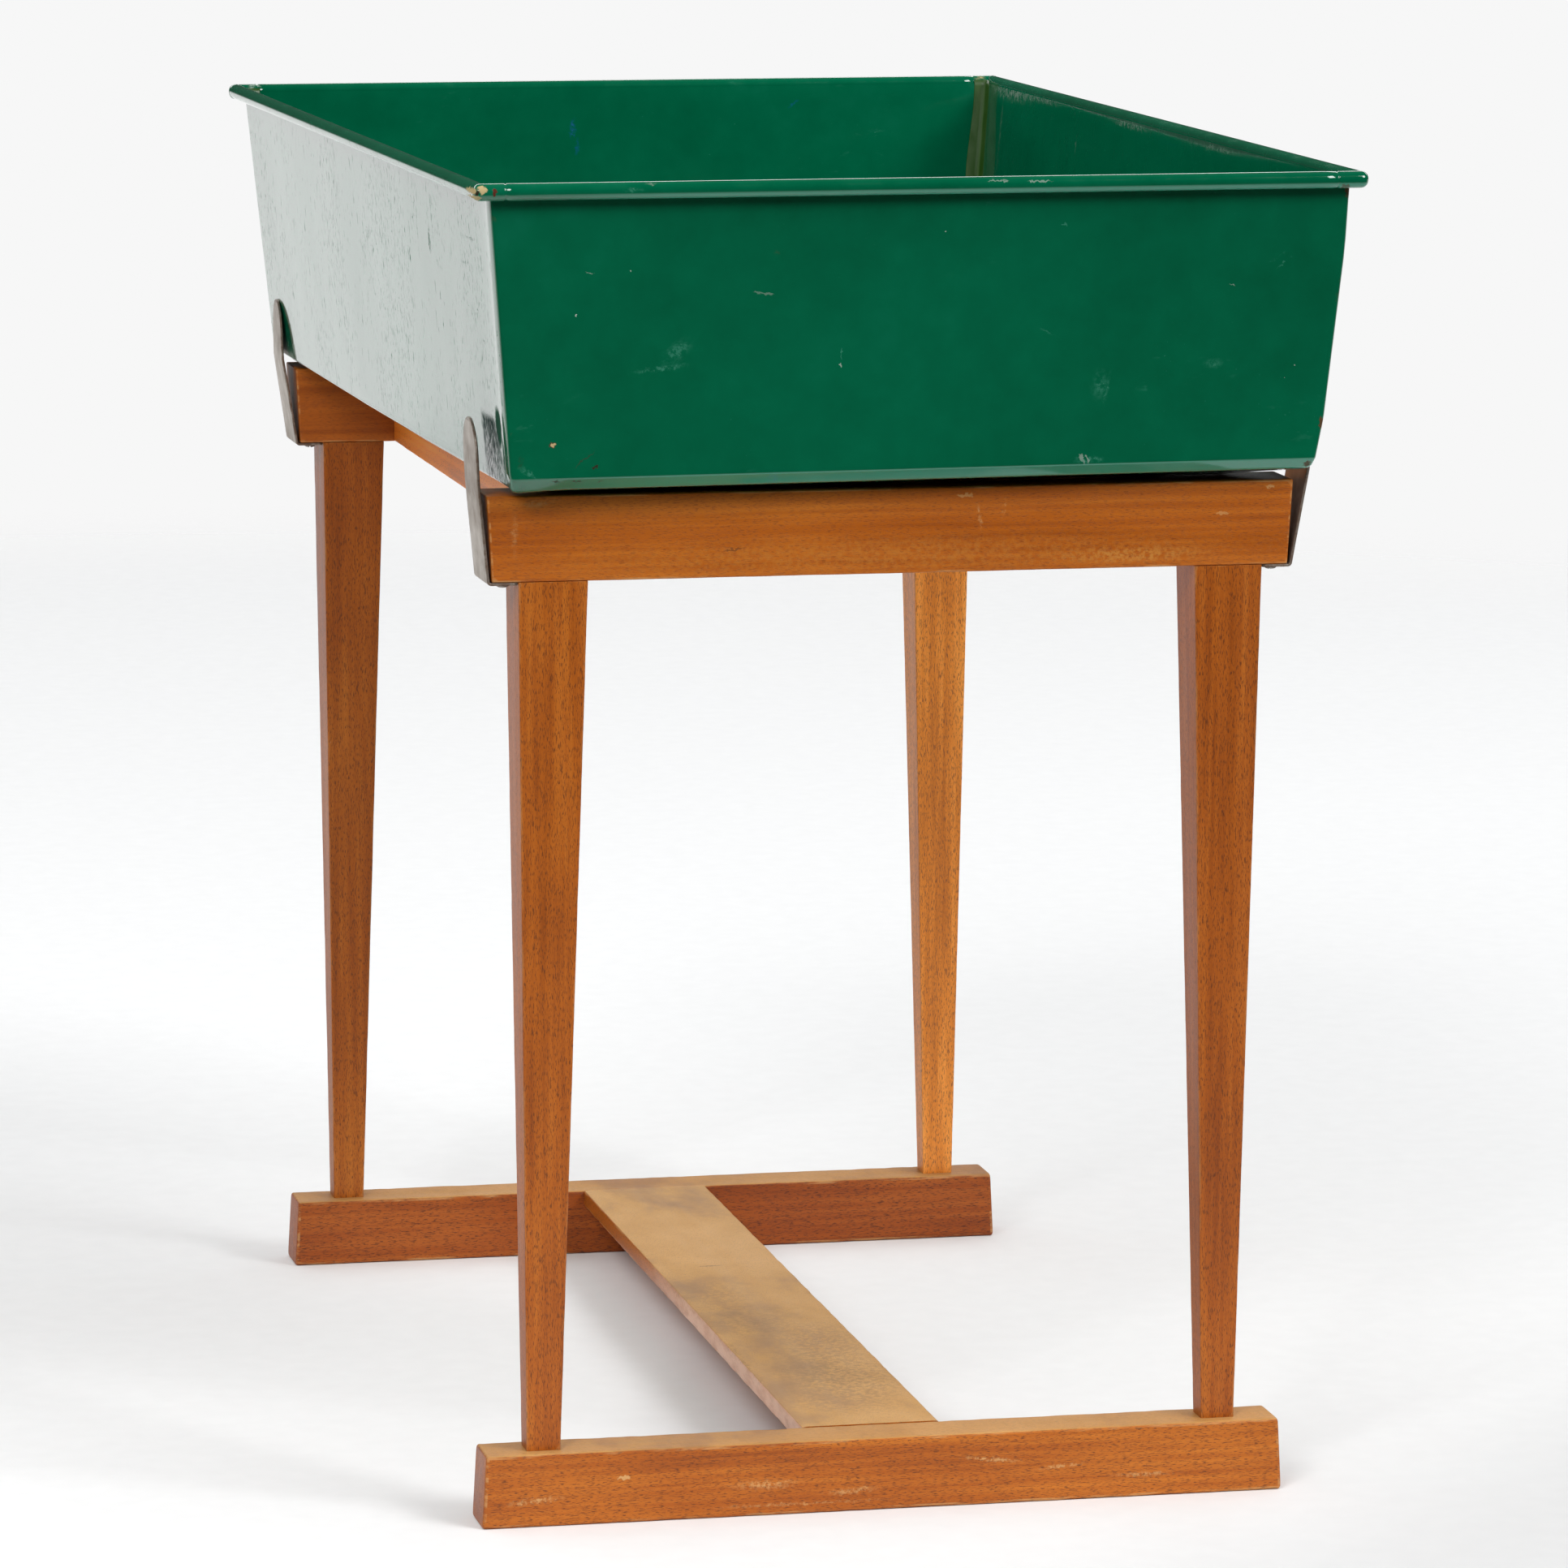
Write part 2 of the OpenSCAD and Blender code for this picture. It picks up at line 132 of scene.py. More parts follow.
# Distances in millimetres from a bar's ends, close where it rounds off and at its seam
BAR_STOPS = (0.0, 0.3, 0.8, 1.5, 2.4, 3.5, 4.8, 17.2, 17.6, 18.0, 18.4, 18.8)


# ---- mesh helpers
def wave(point, scale, seed=0.0):
    """Smooth noise from -1 to 1 at a point."""
    return noise.noise(Vector(point) * scale + Vector((seed, seed * 1.7, -seed)))


def fade(value, start, end):
    """1 at start, 0 at end, straight between them."""
    return max(0.0, min(1.0, (value - end) / (start - end)))


def linked(name, data):
    """A new object in the scene."""
    obj = bpy.data.objects.new(name, data)
    bpy.context.scene.collection.objects.link(obj)
    return obj


def new_object(name, bm, edge_values=None, smooth=True):
    """Turns a bmesh into an object, with an 'edge' attribute that is 1 on arrises."""
    bmesh.ops.recalc_face_normals(bm, faces=bm.faces)
    mesh = bpy.data.meshes.new(name)
    bm.to_mesh(mesh)
    bm.free()
    if edge_values is not None:
        layer = mesh.attributes.new("edge", "FLOAT", "POINT")
        layer.data.foreach_set("value", edge_values)
    if smooth:
        mesh.shade_smooth()
    return linked(name, mesh)


def weighted(obj):
    """Keeps large flats flat while the small roundings stay smooth."""
    modifier = obj.modifiers.new("normals", "WEIGHTED_NORMAL")
    modifier.keep_sharp = True
    modifier.weight = 80
    return obj


def loft(bm, rings):
    """Joins rings of equal length by quads and closes both ends."""
    made = [[bm.verts.new(point) for point in ring] for ring in rings]
    count = len(made[0])
    for lower, upper in zip(made, made[1:]):
        for i in range(count):
            j = (i + 1) % count
            bm.faces.new((lower[i], lower[j], upper[j], upper[i]))
    bm.faces.new(list(reversed(made[0])))
    bm.faces.new(made[-1])


def lofted(name, rings):
    """An object lofted through rings of (point, edge value)."""
    bm = bmesh.new()
    loft(bm, [[point for point, edge in ring] for ring in rings])
    return new_object(name, bm, [edge for ring in rings for point, edge in ring])


def section_points(half_a, half_b, radius):
    """Rounded rectangle: (a, b, edge value, corner number) for each point."""
    points = []
    reach = radius + SMOOTH_BORDER
    for number, (sign_a, sign_b) in enumerate(((1, 1), (-1, 1), (-1, -1), (1, -1))):
        on_a = (sign_a * half_a, sign_b * (half_b - reach), 0.0, number)
        on_b = (sign_a * (half_a - reach), sign_b * half_b, 0.0, number)
        before, after = (on_a, on_b) if number % 2 == 0 else (on_b, on_a)
        points.append(before)
        for turn in QUARTER_TURN:
            angle = number * math.pi / 2 + turn
            a = sign_a * (half_a - radius) + radius * math.cos(angle)
            b = sign_b * (half_b - radius) + radius * math.sin(angle)
            points.append((a, b, 1.0, number))
        points.append(after)
    return points


def stations(length, radius):
    """(distance, inset, edge value) along a timber whose two ends are rounded."""
    ends = [
        (radius * (1 - math.cos(turn)), radius * (1 - math.sin(turn)), 1.0)
        for turn in QUARTER_TURN
    ]
    border = radius + SMOOTH_BORDER
    count = max(2, round((length - 2 * border) / TIMBER_STEP))
    middle = [
        (border + (length - 2 * border) * i / count, 0.0, 0.0)
        for i in range(count + 1)
    ]
    far = [(length - away, inset, edge) for away, inset, edge in reversed(ends)]
    return ends + middle + far


def timber(name, length, size_at, place, radius, end_radius, seed, wear):
    """A wooden bar with worn, rounded arrises. size_at gives half sizes, place the world point."""
    rings = []
    for along, inset, end_edge in stations(length, end_radius):
        half_a, half_b = size_at(along)
        ring = []
        for a, b, edge, corner in section_points(half_a - inset, half_b - inset, radius):
            rub = 0.5 + 0.5 * wave((along, corner * 0.31, 0), 55, seed)
            rub += 0.6 * max(0.0, wave((along, corner * 0.17, 1), 160, seed))
            pull = edge * wear * radius * max(0.0, rub)
            worn_a = a - math.copysign(pull * 0.5, a)
            worn_b = b - math.copysign(pull * 0.5, b)
            ring.append((place(along, worn_a, worn_b), max(edge, end_edge)))
        rings.append(ring)
    return weighted(lofted(name, rings))


# ---- stand
def cross_bar(name, side, low, high, base_half, top_half, radius, end_radius, seed, wear):
    """Bar across the stand. Its ends lean from one half length at the base to another on top."""
    half_height = (high.z - low.z) / 2
    half_depth = (high.y - low.y) / 2
    longest = max(base_half, top_half)

    def place(along, a, b):
        share = (half_height + b) / (2 * half_height)
        lean = base_half + (top_half - base_half) * share
        x = (along - longest) * lean / longest
        return Vector((x, side * TRESTLE_Y + a, low.z + half_height + b))

    return timber(
        name, 2 * longest, lambda along: (half_depth, half_height), place,
        radius, end_radius, seed, wear,
    )


def foot_rail(name, side):
    """Foot rail, longest along the floor."""
    return cross_bar(
        name, side, FOOT_LOW, FOOT_HIGH, FOOT_HALF, FOOT_TOP_HALF,
        radius=1.5 * MM, end_radius=1.6 * MM, seed=3.1 + side, wear=0.7,
    )


def top_rail(name, side):
    """Cross rail under one end of the trough, longest on top."""
    return cross_bar(
        name, side, RAIL_LOW, RAIL_HIGH, RAIL_BASE_HALF, RAIL_HALF,
        radius=0.9 * MM, end_radius=0.9 * MM, seed=7.7 + side, wear=0.5,
    )


def leg(name, side_x, side_y):
    """Tapered leg between the foot rail and the cross rail."""
    length = RAIL_BASE - FOOT_TOP

    def size_at(along):
        section = LEG_FOOT.lerp(LEG_TOP, along / length)
        return section.y / 2, section.z / 2

    def place(along, a, b):
        x = side_x * LEG_FOOT.lerp(LEG_TOP, along / length).x + a
        return Vector((x, side_y * TRESTLE_Y + b, FOOT_TOP + along))

    return timber(
        name, length, size_at, place,
        radius=0.6 * MM, end_radius=JOINT_EDGE, seed=11.0 + side_x + 2 * side_y, wear=0.6,
    )


def long_bar(name, low, high, side, radius, seed, wear, broken=None):
    """Bar that fills a CAD box along the stand. broken says how deep an edge is chipped away."""
    half_width = (high.x - low.x) / 2
    half_height = (high.z - low.z) / 2
    centre_x = side * (high.x + low.x) / 2
    length = high.y - low.y

    def place(along, a, b):
        point = Vector((centre_x + a, low.y + along, low.z + half_height + b))
        if broken:
            depth = broken(along, along / length, a / half_width, b / half_height)
            point += Vector((2.2 * MM, 0.0, -1.4 * MM)) * depth
        return point

    return timber(
        name, length, lambda along: (half_width, half_height), place,
        radius, JOINT_EDGE, seed, wear,
    )


def side_rail(name, side):
    """Long rail between the two cross rails."""
    return long_bar(
        name, SIDE_LOW, SIDE_HIGH, side, radius=0.9 * MM, seed=17.0 + side, wear=0.5,
    )


def broken_edge(along, share, across, up):
    """How deep the upper left edge of the stretcher is chipped, over its front part."""
    if across >= -0.9 or up <= 0.5 or share >= 0.6:
        return 0.0
    return max(0.0, wave((along, 0, 0), 70, 4.0) - 0.1)


def stretcher(name):
    """Flat board between the foot rails, worn hardest along its left edge."""
    return long_bar(
        name, BOARD_LOW, BOARD_HIGH, 1, radius=1.2 * MM, seed=23.0, wear=0.7, broken=broken_edge,
    )


# ---- trough
TROUGH_PLACE = Matrix.Translation((0, 0, TROUGH_BASE)) @ Matrix.Rotation(TROUGH_TURN, 4, "Z")


def in_trough(x, y, z):
    """Point of the trough on its stand. The rear of its right side stands a little wide."""
    spread = RIM_SPREAD * fade(x, 190 * MM, 90 * MM) * fade(y, RIM_HALF_Y, -RIM_HALF_Y)
    return TROUGH_PLACE @ Vector((x + spread, y, z))


def perimeter(half_x, half_y, radius):
    """Points round a rectangle with rounded corners: (x, y, edge value, side name)."""
    points = []
    border = 4 * MM
    centres = [
        Vector((sign_x * (half_x - radius), sign_y * (half_y - radius)))
        for sign_x, sign_y in ((-1, -1), (1, -1), (1, 1), (-1, 1))
    ]
    for number, (side, steps) in enumerate(WALL_STEPS.items()):
        for turn in QUARTER_TURN:
            angle = math.pi + number * math.pi / 2 + turn
            out = Vector((math.cos(angle), math.sin(angle))) * radius
            points.append((*(centres[number] + out), 1.0, "corner"))
        start = centres[number] + out
        end = centres[(number + 1) % 4] + out
        # A close first and last point, so that the corners shade cleanly
        close = border / (end - start).length
        inner = [(i + 1) / (steps + 1) for i in range(steps)]
        for share in [close, *inner, 1 - close]:
            points.append((*start.lerp(end, share), 0.0, side))
    return points


def profile(rim_half, base_half, fold):
    """(height, half size) from the flat bottom up to the rim, for one direction."""
    step = (rim_half - 2 * BEAD + SHEET - base_half) / (BEAD_Z - BELLY)
    rise = fold / (1 - step)
    return [
        (0.0, base_half - fold - BAND),
        (BELLY, base_half - fold),
        (BELLY + rise, base_half + step * rise),
        (BEAD_Z, base_half + step * (BEAD_Z - BELLY)),
    ]


PROFILE_X = profile(RIM_HALF_X, BASE_HALF_X, SIDE_FOLD)
PROFILE_Y = profile(RIM_HALF_Y, BASE_HALF_Y, END_BEVEL)


def half_at(points, z):
    """Half size at a height."""
    for (low_z, low), (high_z, high) in zip(points, points[1:]):
        if z <= high_z:
            return low + (high - low) * max(0.0, z - low_z) / (high_z - low_z)
    return points[-1][1]


def soft_half(points, z, spread):
    """Half size at a height, with the folds eased over a small spread."""
    low = half_at(points, max(0.0, z - spread))
    high = half_at(points, z + spread)
    return (low + high + 2 * half_at(points, z)) / 4


def pan_heights():
    """Heights of the rings that make up one skin of the pan."""
    folds = [BELLY, PROFILE_X[2][0], PROFILE_Y[2][0]]
    heights = [0.0, BELLY * 0.5, BELLY * 0.93]
    for fold in folds:
        heights += [fold - 0.5 * MM, fold, fold + 0.6 * MM]
    start = folds[-1] + 3 * MM
    rows = 14
    heights += [start + (BEAD_Z - start) * row / rows for row in range(rows + 1)]
    return sorted(h for h in set(heights) if h <= BEAD_Z)


def settle(x, y, z, side):
    """How the real sheet strays from the true outline: sagging fold, crumpled corner, bowed wall."""
    push = Vector((0, 0, 0))
    if z < 1 * MM:
        return push
    if y < 0 and side in ("front", "corner"):
        across = max(-1.0, min(1.0, x / BASE_HALF_X))
        push.z += 1.3 * MM * across * fade(z, 0, 30 * MM)
    corner_reach = math.hypot(x + BASE_HALF_X, y + BASE_HALF_Y)
    crumple = fade(corner_reach, 0, 26 * MM) * fade(z, 4 * MM, 13 * MM)
    push.z -= 2.0 * MM * crumple
    push.x += 2.2 * MM * crumple
    leftward = fade(x, -190 * MM, -90 * MM)
    rightward = fade(x, 190 * MM, 90 * MM)
    rearward = fade(y, 320 * MM, 60 * MM)
    frontward = fade(y, -340 * MM, -140 * MM)
    push.x += leftward * rearward * (0.5 * MM + 1.5 * MM * fade(z, 0, BEAD_Z))
    push.x += leftward * frontward * 1.5 * MM
    middle = fade(z, 36 * MM, 6 * MM) * fade(z, 130 * MM, BEAD_Z)
    push.x += rightward * frontward * 2.2 * MM * middle
    if side == "left" and y < 0 and z > 13 * MM:
        front_y = half_at(PROFILE_Y, z)
        push.x -= 0.9 * MM * fade(y + front_y, 2 * MM, 15 * MM)
    return push


def tray_shell():
    """Sheet-metal pan: outside and inside skins with slightly wavy walls."""
    heights = pan_heights()
    levels = [(0, z) for z in heights] + [(1, z) for z in reversed(heights)]
    rings = []
    for skin, height in levels:
        spread = 0.45 * MM if height > 4 * MM else 0.0
        half_x = soft_half(PROFILE_X, height, spread) - skin * SHEET
        half_y = soft_half(PROFILE_Y, height, spread) - skin * SHEET
        z = height + skin * SHEET * fade(height, BELLY, 3 * BELLY)
        radius = INNER_CORNER if skin else WALL_CORNER
        swell = math.sin(math.pi * min(1.0, z / BEAD_Z)) if z > 14 * MM else 0.0
        ring = []
        for x, y, edge, side in perimeter(half_x, half_y, radius):
            point = Vector((x, y, z)) + settle(x, y, z, side)
            ripple = 0.4 * MM * swell * wave((x, y, z), 9, 5.0)
            ripple += 0.1 * MM * swell * wave((x, y, z), 34, 9.0)
            if side in ("left", "right"):
                point.x += ripple * fade(abs(y), half_y - 40 * MM, half_y - 4 * MM)
            if side in ("front", "rear"):
                point.y += ripple * fade(abs(x), half_x - 40 * MM, half_x - 4 * MM)
            ring.append((in_trough(*point), edge))
        rings.append(ring)
    return weighted(lofted("tray_shell", rings))


def tube(name, start, end, radius_at, steps):
    """Round bar. radius_at takes the distance from the start, and the length."""
    sides = 28
    start = Vector(start)
    along = Vector(end) - start
    length = along.length
    axis = along.normalized()
    up = Vector((0, 0, 1))
    across = axis.cross(up).normalized()
    stops = [length * i / steps for i in range(steps + 1)]
    for distance in BAR_STOPS:
        stops += [distance * MM, length - distance * MM]
    rings = []
    for stop in sorted(set(round(s, 6) for s in stops)):
        radius = radius_at(stop, length)
        ring = []
        for side in range(sides):
            angle = 2 * math.pi * side / sides
            offset = across * math.cos(angle) + up * math.sin(angle)
            ring.append((in_trough(*(start + axis * stop + offset * radius)), 0.0))
        rings.append(ring)
    return lofted(name, rings)


def end_bead_radius(stop, length):
    """Rounded ends, and a shallow seam where the rod is let in near each end."""
    near = min(stop, length - stop)
    radius = BEAD - 0.02 * MM
    if near < BEAD:
        radius = math.sqrt(max(1e-9, 1 - (1 - near / BEAD) ** 2.6)) * BEAD
        radius = max(radius, BEAD_TIP)
    if abs(near - SEAM) < SEAM_HALF:
        radius -= SEAM_DEPTH
    return min(radius, BEAD) * (0.992 + 0.006 * wave((stop, 0, 0), 40, 2.0))


def side_bead_radius(stop, length):
    """Nearly even bar with slight dents."""
    return SIDE_BEAD * (0.99 + 0.008 * wave((stop, 0, 1), 22, 6.0))


def rod_radius(stop, length):
    """Plain rod."""
    return ROD_HALF


def rim_tubes(name, end_radius, side_radius, trim=0.0):
    """Bars along the rim: full width at the ends, side bars between them."""
    parts = []
    half_x = RIM_HALF_X - trim
    half_y = RIM_HALF_Y - BEAD - trim
    for place, side in ENDS:
        y = side * (RIM_HALF_Y - BEAD)
        start, end = (-half_x, y, BEAD_Z), (half_x, y, BEAD_Z)
        parts.append(tube(f"{name}_{place}", start, end, end_radius, 60))
    for place, side in HANDS:
        x = side * (RIM_HALF_X - BEAD)
        start, end = (x, -half_y, BEAD_Z), (x, half_y, BEAD_Z)
        parts.append(tube(f"{name}_{place}", start, end, side_radius, 100))
    return parts


def join_pieces(name, pieces):
    """Several meshes as one object."""
    bm = bmesh.new()
    for piece in pieces:
        bm.from_mesh(piece.data)
        bpy.data.objects.remove(piece, do_unlink=True)
    return new_object(name, bm)


def lump(name, centre, size, seed):
    """Irregular blob of solder, flattened on to what it sits on."""
    rows, columns, rough = 12, 18, 0.25
    rings = []
    for row in range(1, rows):
        polar = math.pi * row / rows
        ring = []
        for column in range(columns):
            turn = 2 * math.pi * column / columns
            flat = math.sin(polar)
            out = Vector((flat * math.cos(turn), flat * math.sin(turn), math.cos(polar)))
            swell = 1 + rough * (wave(out, 2.2, seed) + 0.3 * wave(out, 6.0, seed))
            point = [c + o * s * swell for c, o, s in zip(centre, out, size)]
            ring.append((in_trough(*point), 0.0))
        rings.append(ring)
    return lofted(name, rings)


def corner_run(name, side_x, side_y, seed):
    """Solder run up an inside corner, with wandering edges."""
    low_z = PROFILE_Y[2][0] + SHEET
    lift = 0.25 * MM
    steps = 40
    rings = []
    for step in range(steps + 1):
        share = 0.015 + step / steps
        z = low_z + (BEAD_Z - low_z) * share
        half_x = half_at(PROFILE_X, z) - SHEET
        half_y = half_at(PROFILE_Y, z) - SHEET
        leg_x = (11.0 - 2.5 * share + 1.8 * wave((0, 0, z), 30, seed)) * MM
        leg_y = (10.0 - 2.5 * share + 1.6 * wave((1, 0, z), 34, seed)) * MM
        rise = (1.5 + 0.5 * wave((2, 0, z), 60, seed)) * MM
        outline = [
            (-leg_x, 0.05 * MM, 1.0),
            (-leg_x + 0.5 * MM, -lift, 1.0),
            (-leg_x * 0.45, -lift - rise * 0.2, 0.6),
            (-rise, -rise, 0.0),
            (-lift - rise * 0.2, -leg_y * 0.45, 0.6),
            (-lift, -leg_y + 0.5 * MM, 1.0),
            (0.05 * MM, -leg_y, 1.0),
            (0.3 * MM, 0.3 * MM, 0.0),
        ]
        ring = []
        for x, y, edge in outline:
            spot = Vector((side_x * (half_x + x), side_y * (half_y + y), z))
            ring.append((in_trough(*(spot + settle(*spot, "corner"))), edge))
        rings.append(ring)
    return lofted(name, rings)


# ---- clips
def strap_line(lean, upper_lean):
    """Middle line of a strap, outward and up from the lower corner of a rail end."""
    middle = STRAP / 2
    radius = BEND_RADIUS + middle
    line = [(-TAB + TAB * i / 6, -middle) for i in range(6)]
    for step in range(9):
        angle = math.radians(-90 + (90 - lean) * step / 8)
        x = BEND_OFFSET + radius * math.cos(angle)
        line.append((x, BEND_RADIUS + radius * math.sin(angle)))
    foot_x, foot_z = line[-1]
    slope = math.tan(math.radians(lean))
    upper_slope = math.tan(math.radians(upper_lean))
    kink_x = foot_x + (KINK - foot_z) * slope
    rows = 22
    for row in range(1, rows + 1):
        z = foot_z + (KINK - foot_z) * row / rows
        line.append((foot_x + (z - foot_z) * slope, z))
    upper = [KINK + (TIP_START - KINK) * row / 5 for row in range(1, 6)]
    for step in range(1, 13):
        angle = min(90 * step / 12, 88.6)
        upper.append(TIP_START + STRAP_HALF * math.sin(math.radians(angle)))
    return line + [(kink_x + (z - KINK) * upper_slope, z) for z in upper]


def strap_outline(half_width):
    """Thin rounded section of the strap: (offset, y, edge value) for each point."""
    half = STRAP / 2
    soft = min(0.35 * MM, half_width * 0.4)
    across = [-1.0, -0.86, -0.5, 0.0, 0.5, 0.86, 1.0]
    outline = []
    for sign in (1, -1):
        for share in across:
            edge = 1.0 if abs(share) == 1.0 else 0.0
            outline.append((sign * half, sign * share * (half_width - soft * edge), edge))
        end_y = sign * half_width
        outline.append((sign * (half - soft), end_y, 1.0))
        outline.append((-sign * (half - soft), end_y, 1.0))
    return outline


def clip(name, side_x, side_y, leans, seed, twist=0.0):
    """One bent strap with a tab, a bend, a kink and a round tip, twisted a little towards its top."""
    line = strap_line(*leans)

    def place(x, y, z):
        dent = 0.10 * MM * wave((y, z, 0), 60, seed)
        share = max(0.0, z / CLIP_TOP)
        inward = math.sin(math.radians(twist)) * share * (y + STRAP_HALF)
        out = RAIL_BASE_HALF + x + dent - inward
        return Vector((side_x * out, side_y * TRESTLE_Y + y, RAIL_BASE + z))

    rings = []
    for number, (x, z) in enumerate(line):
        before = line[max(0, number - 1)]
        after = line[min(len(line) - 1, number + 1)]
        dx, dz = after[0] - before[0], after[1] - before[1]
        length = math.hypot(dx, dz)
        rise = max(0.0, z - TIP_START)
        half_width = math.sqrt(max(1e-9, STRAP_HALF**2 - rise**2))
        if number == 0:
            half_width -= 0.4 * MM
        worn = number == 0 or rise > 0.9 * STRAP_HALF
        ring = []
        for offset, y, edge in strap_outline(half_width):
            point = place(x - offset * dz / length, y, z + offset * dx / length)
            ring.append((point, 1.0 if worn else edge))
        rings.append(ring)
    return weighted(lofted(name, rings))


def screw_head(centre, turn):
    """Rings across a domed head with a slot, its face downward."""
    columns = [-1.0, -0.8, -0.55, -0.3, -0.155, -0.145, 0.145, 0.155, 0.3, 0.55, 0.8, 1.0]
    rows = 12
    rings = []
    for column in columns:
        half = math.sqrt(max(0.0, 1 - column**2))
        face = []
        seat = []
        for row in range(rows + 1):
            across = half * math.cos(math.pi * (1 - row / rows))
            away = min(1.0, math.hypot(column, across))
            dome = SCREW_HEIGHT * (0.25 + 0.73 * math.sqrt(max(0.0, 1 - 0.92 * away**2)))
            if abs(column) < SLOT_HALF:
                dome = min(dome, SCREW_HEIGHT * 0.42)
            x = SCREW_HEAD * (column * math.cos(turn) - across * math.sin(turn))
            y = SCREW_HEAD * (column * math.sin(turn) + across * math.cos(turn))
            face.append(centre + Vector((x, y, -dome)))
            seat.append(centre + Vector((x, y, 0.0)))
        rings.append(face + seat[::-1])
    return rings


def clip_screws():
    """Eight slotted screws under the tabs."""
    bm = bmesh.new()
    places = [(x, y, spread) for x in (-1, 1) for y in (-1, 1) for spread in (-1, 1)]
    for number, (side_x, side_y, spread) in enumerate(places):
        x = side_x * (RAIL_BASE_HALF - SCREW_INSET)
        y = side_y * TRESTLE_Y + spread * SCREW_SPREAD
        loft(bm, screw_head(Vector((x, y, RAIL_BASE - STRAP)), 0.5 + 1.3 * number))
    bmesh.ops.remove_doubles(bm, verts=bm.verts, dist=0.00001)
    return new_object("screw_heads", bm, smooth=False)


# ---- node helpers
def operator(name, swapped=False):
    """A method of Value that adds one Math node."""

    def method(self, other):
        first, second = (other, self) if swapped else (self, other)
        return self.nodes.math(name, first, second)

    return method


class Value:
    """A number that a shader works out, so that sums and products read as such."""

    __add__ = operator("ADD")
    __radd__ = operator("ADD", True)
    __sub__ = operator("SUBTRACT")
    __rsub__ = operator("SUBTRACT", True)
    __mul__ = operator("MULTIPLY")
    __truediv__ = operator("DIVIDE")

    def __init__(self, nodes, socket):
        self.nodes = nodes
        self.socket = socket

    def __abs__(self):
        return self.nodes.math("ABSOLUTE", self, 0.0)


class Nodes:
    """Builds nodes in one tree, starting from an empty one."""

    def __init__(self, tree):
        self.tree = tree
        tree.nodes.clear()

    def feed(self, socket, value):
        """Gives an input a value or a link."""
        if isinstance(value, Value):
            value = value.socket
        if isinstance(value, bpy.types.NodeSocket):
            self.tree.links.new(value, socket)
        elif socket.type == "RGBA":
            socket.default_value = (*value, 1.0)
        else:
            socket.default_value = value

    def node(self, kind, inputs=None, **settings):
        """A new node with its settings made and its inputs fed."""
        made = self.tree.nodes.new(f"ShaderNode{kind}")
        for name, value in settings.items():
            setattr(made, name, value)
        for name, value in (inputs or {}).items():
            self.feed(made.inputs[name], value)
        return made

    def math(self, operation, first, second, clamp=False):
        """A sum, product or other result of two numbers."""
        made = self.node("Math", {0: first, 1: second}, operation=operation, use_clamp=clamp)
        return Value(self, made.outputs[0])

    def most(self, first, second):
        """The larger of two numbers."""
        return self.math("MAXIMUM", first, second)

    def vector(self, operation, first, second):
        """A vector made from two others."""
        made = self.node("VectorMath", {0: first, 1: second}, operation=operation)
        return made.outputs["Vector"]

    def length(self, vector):
        """How long a vector is."""
        made = self.node("VectorMath", {0: vector}, operation="LENGTH")
        return Value(self, made.outputs["Value"])

    def axis(self, vector, name):
        """One part of a vector."""
        return Value(self, self.node("SeparateXYZ", {0: vector}).outputs[name])

    def window(self, value, low, high, out_low=0.0, out_high=1.0):
        """Maps low..high to out_low..out_high, clamped and smooth."""
        names = ("Value", "From Min", "From Max", "To Min", "To Max")
        inputs = dict(zip(names, (value, low, high, out_low, out_high)))
        made = self.node("MapRange", inputs, interpolation_type="SMOOTHSTEP")
        return Value(self, made.outputs["Result"])


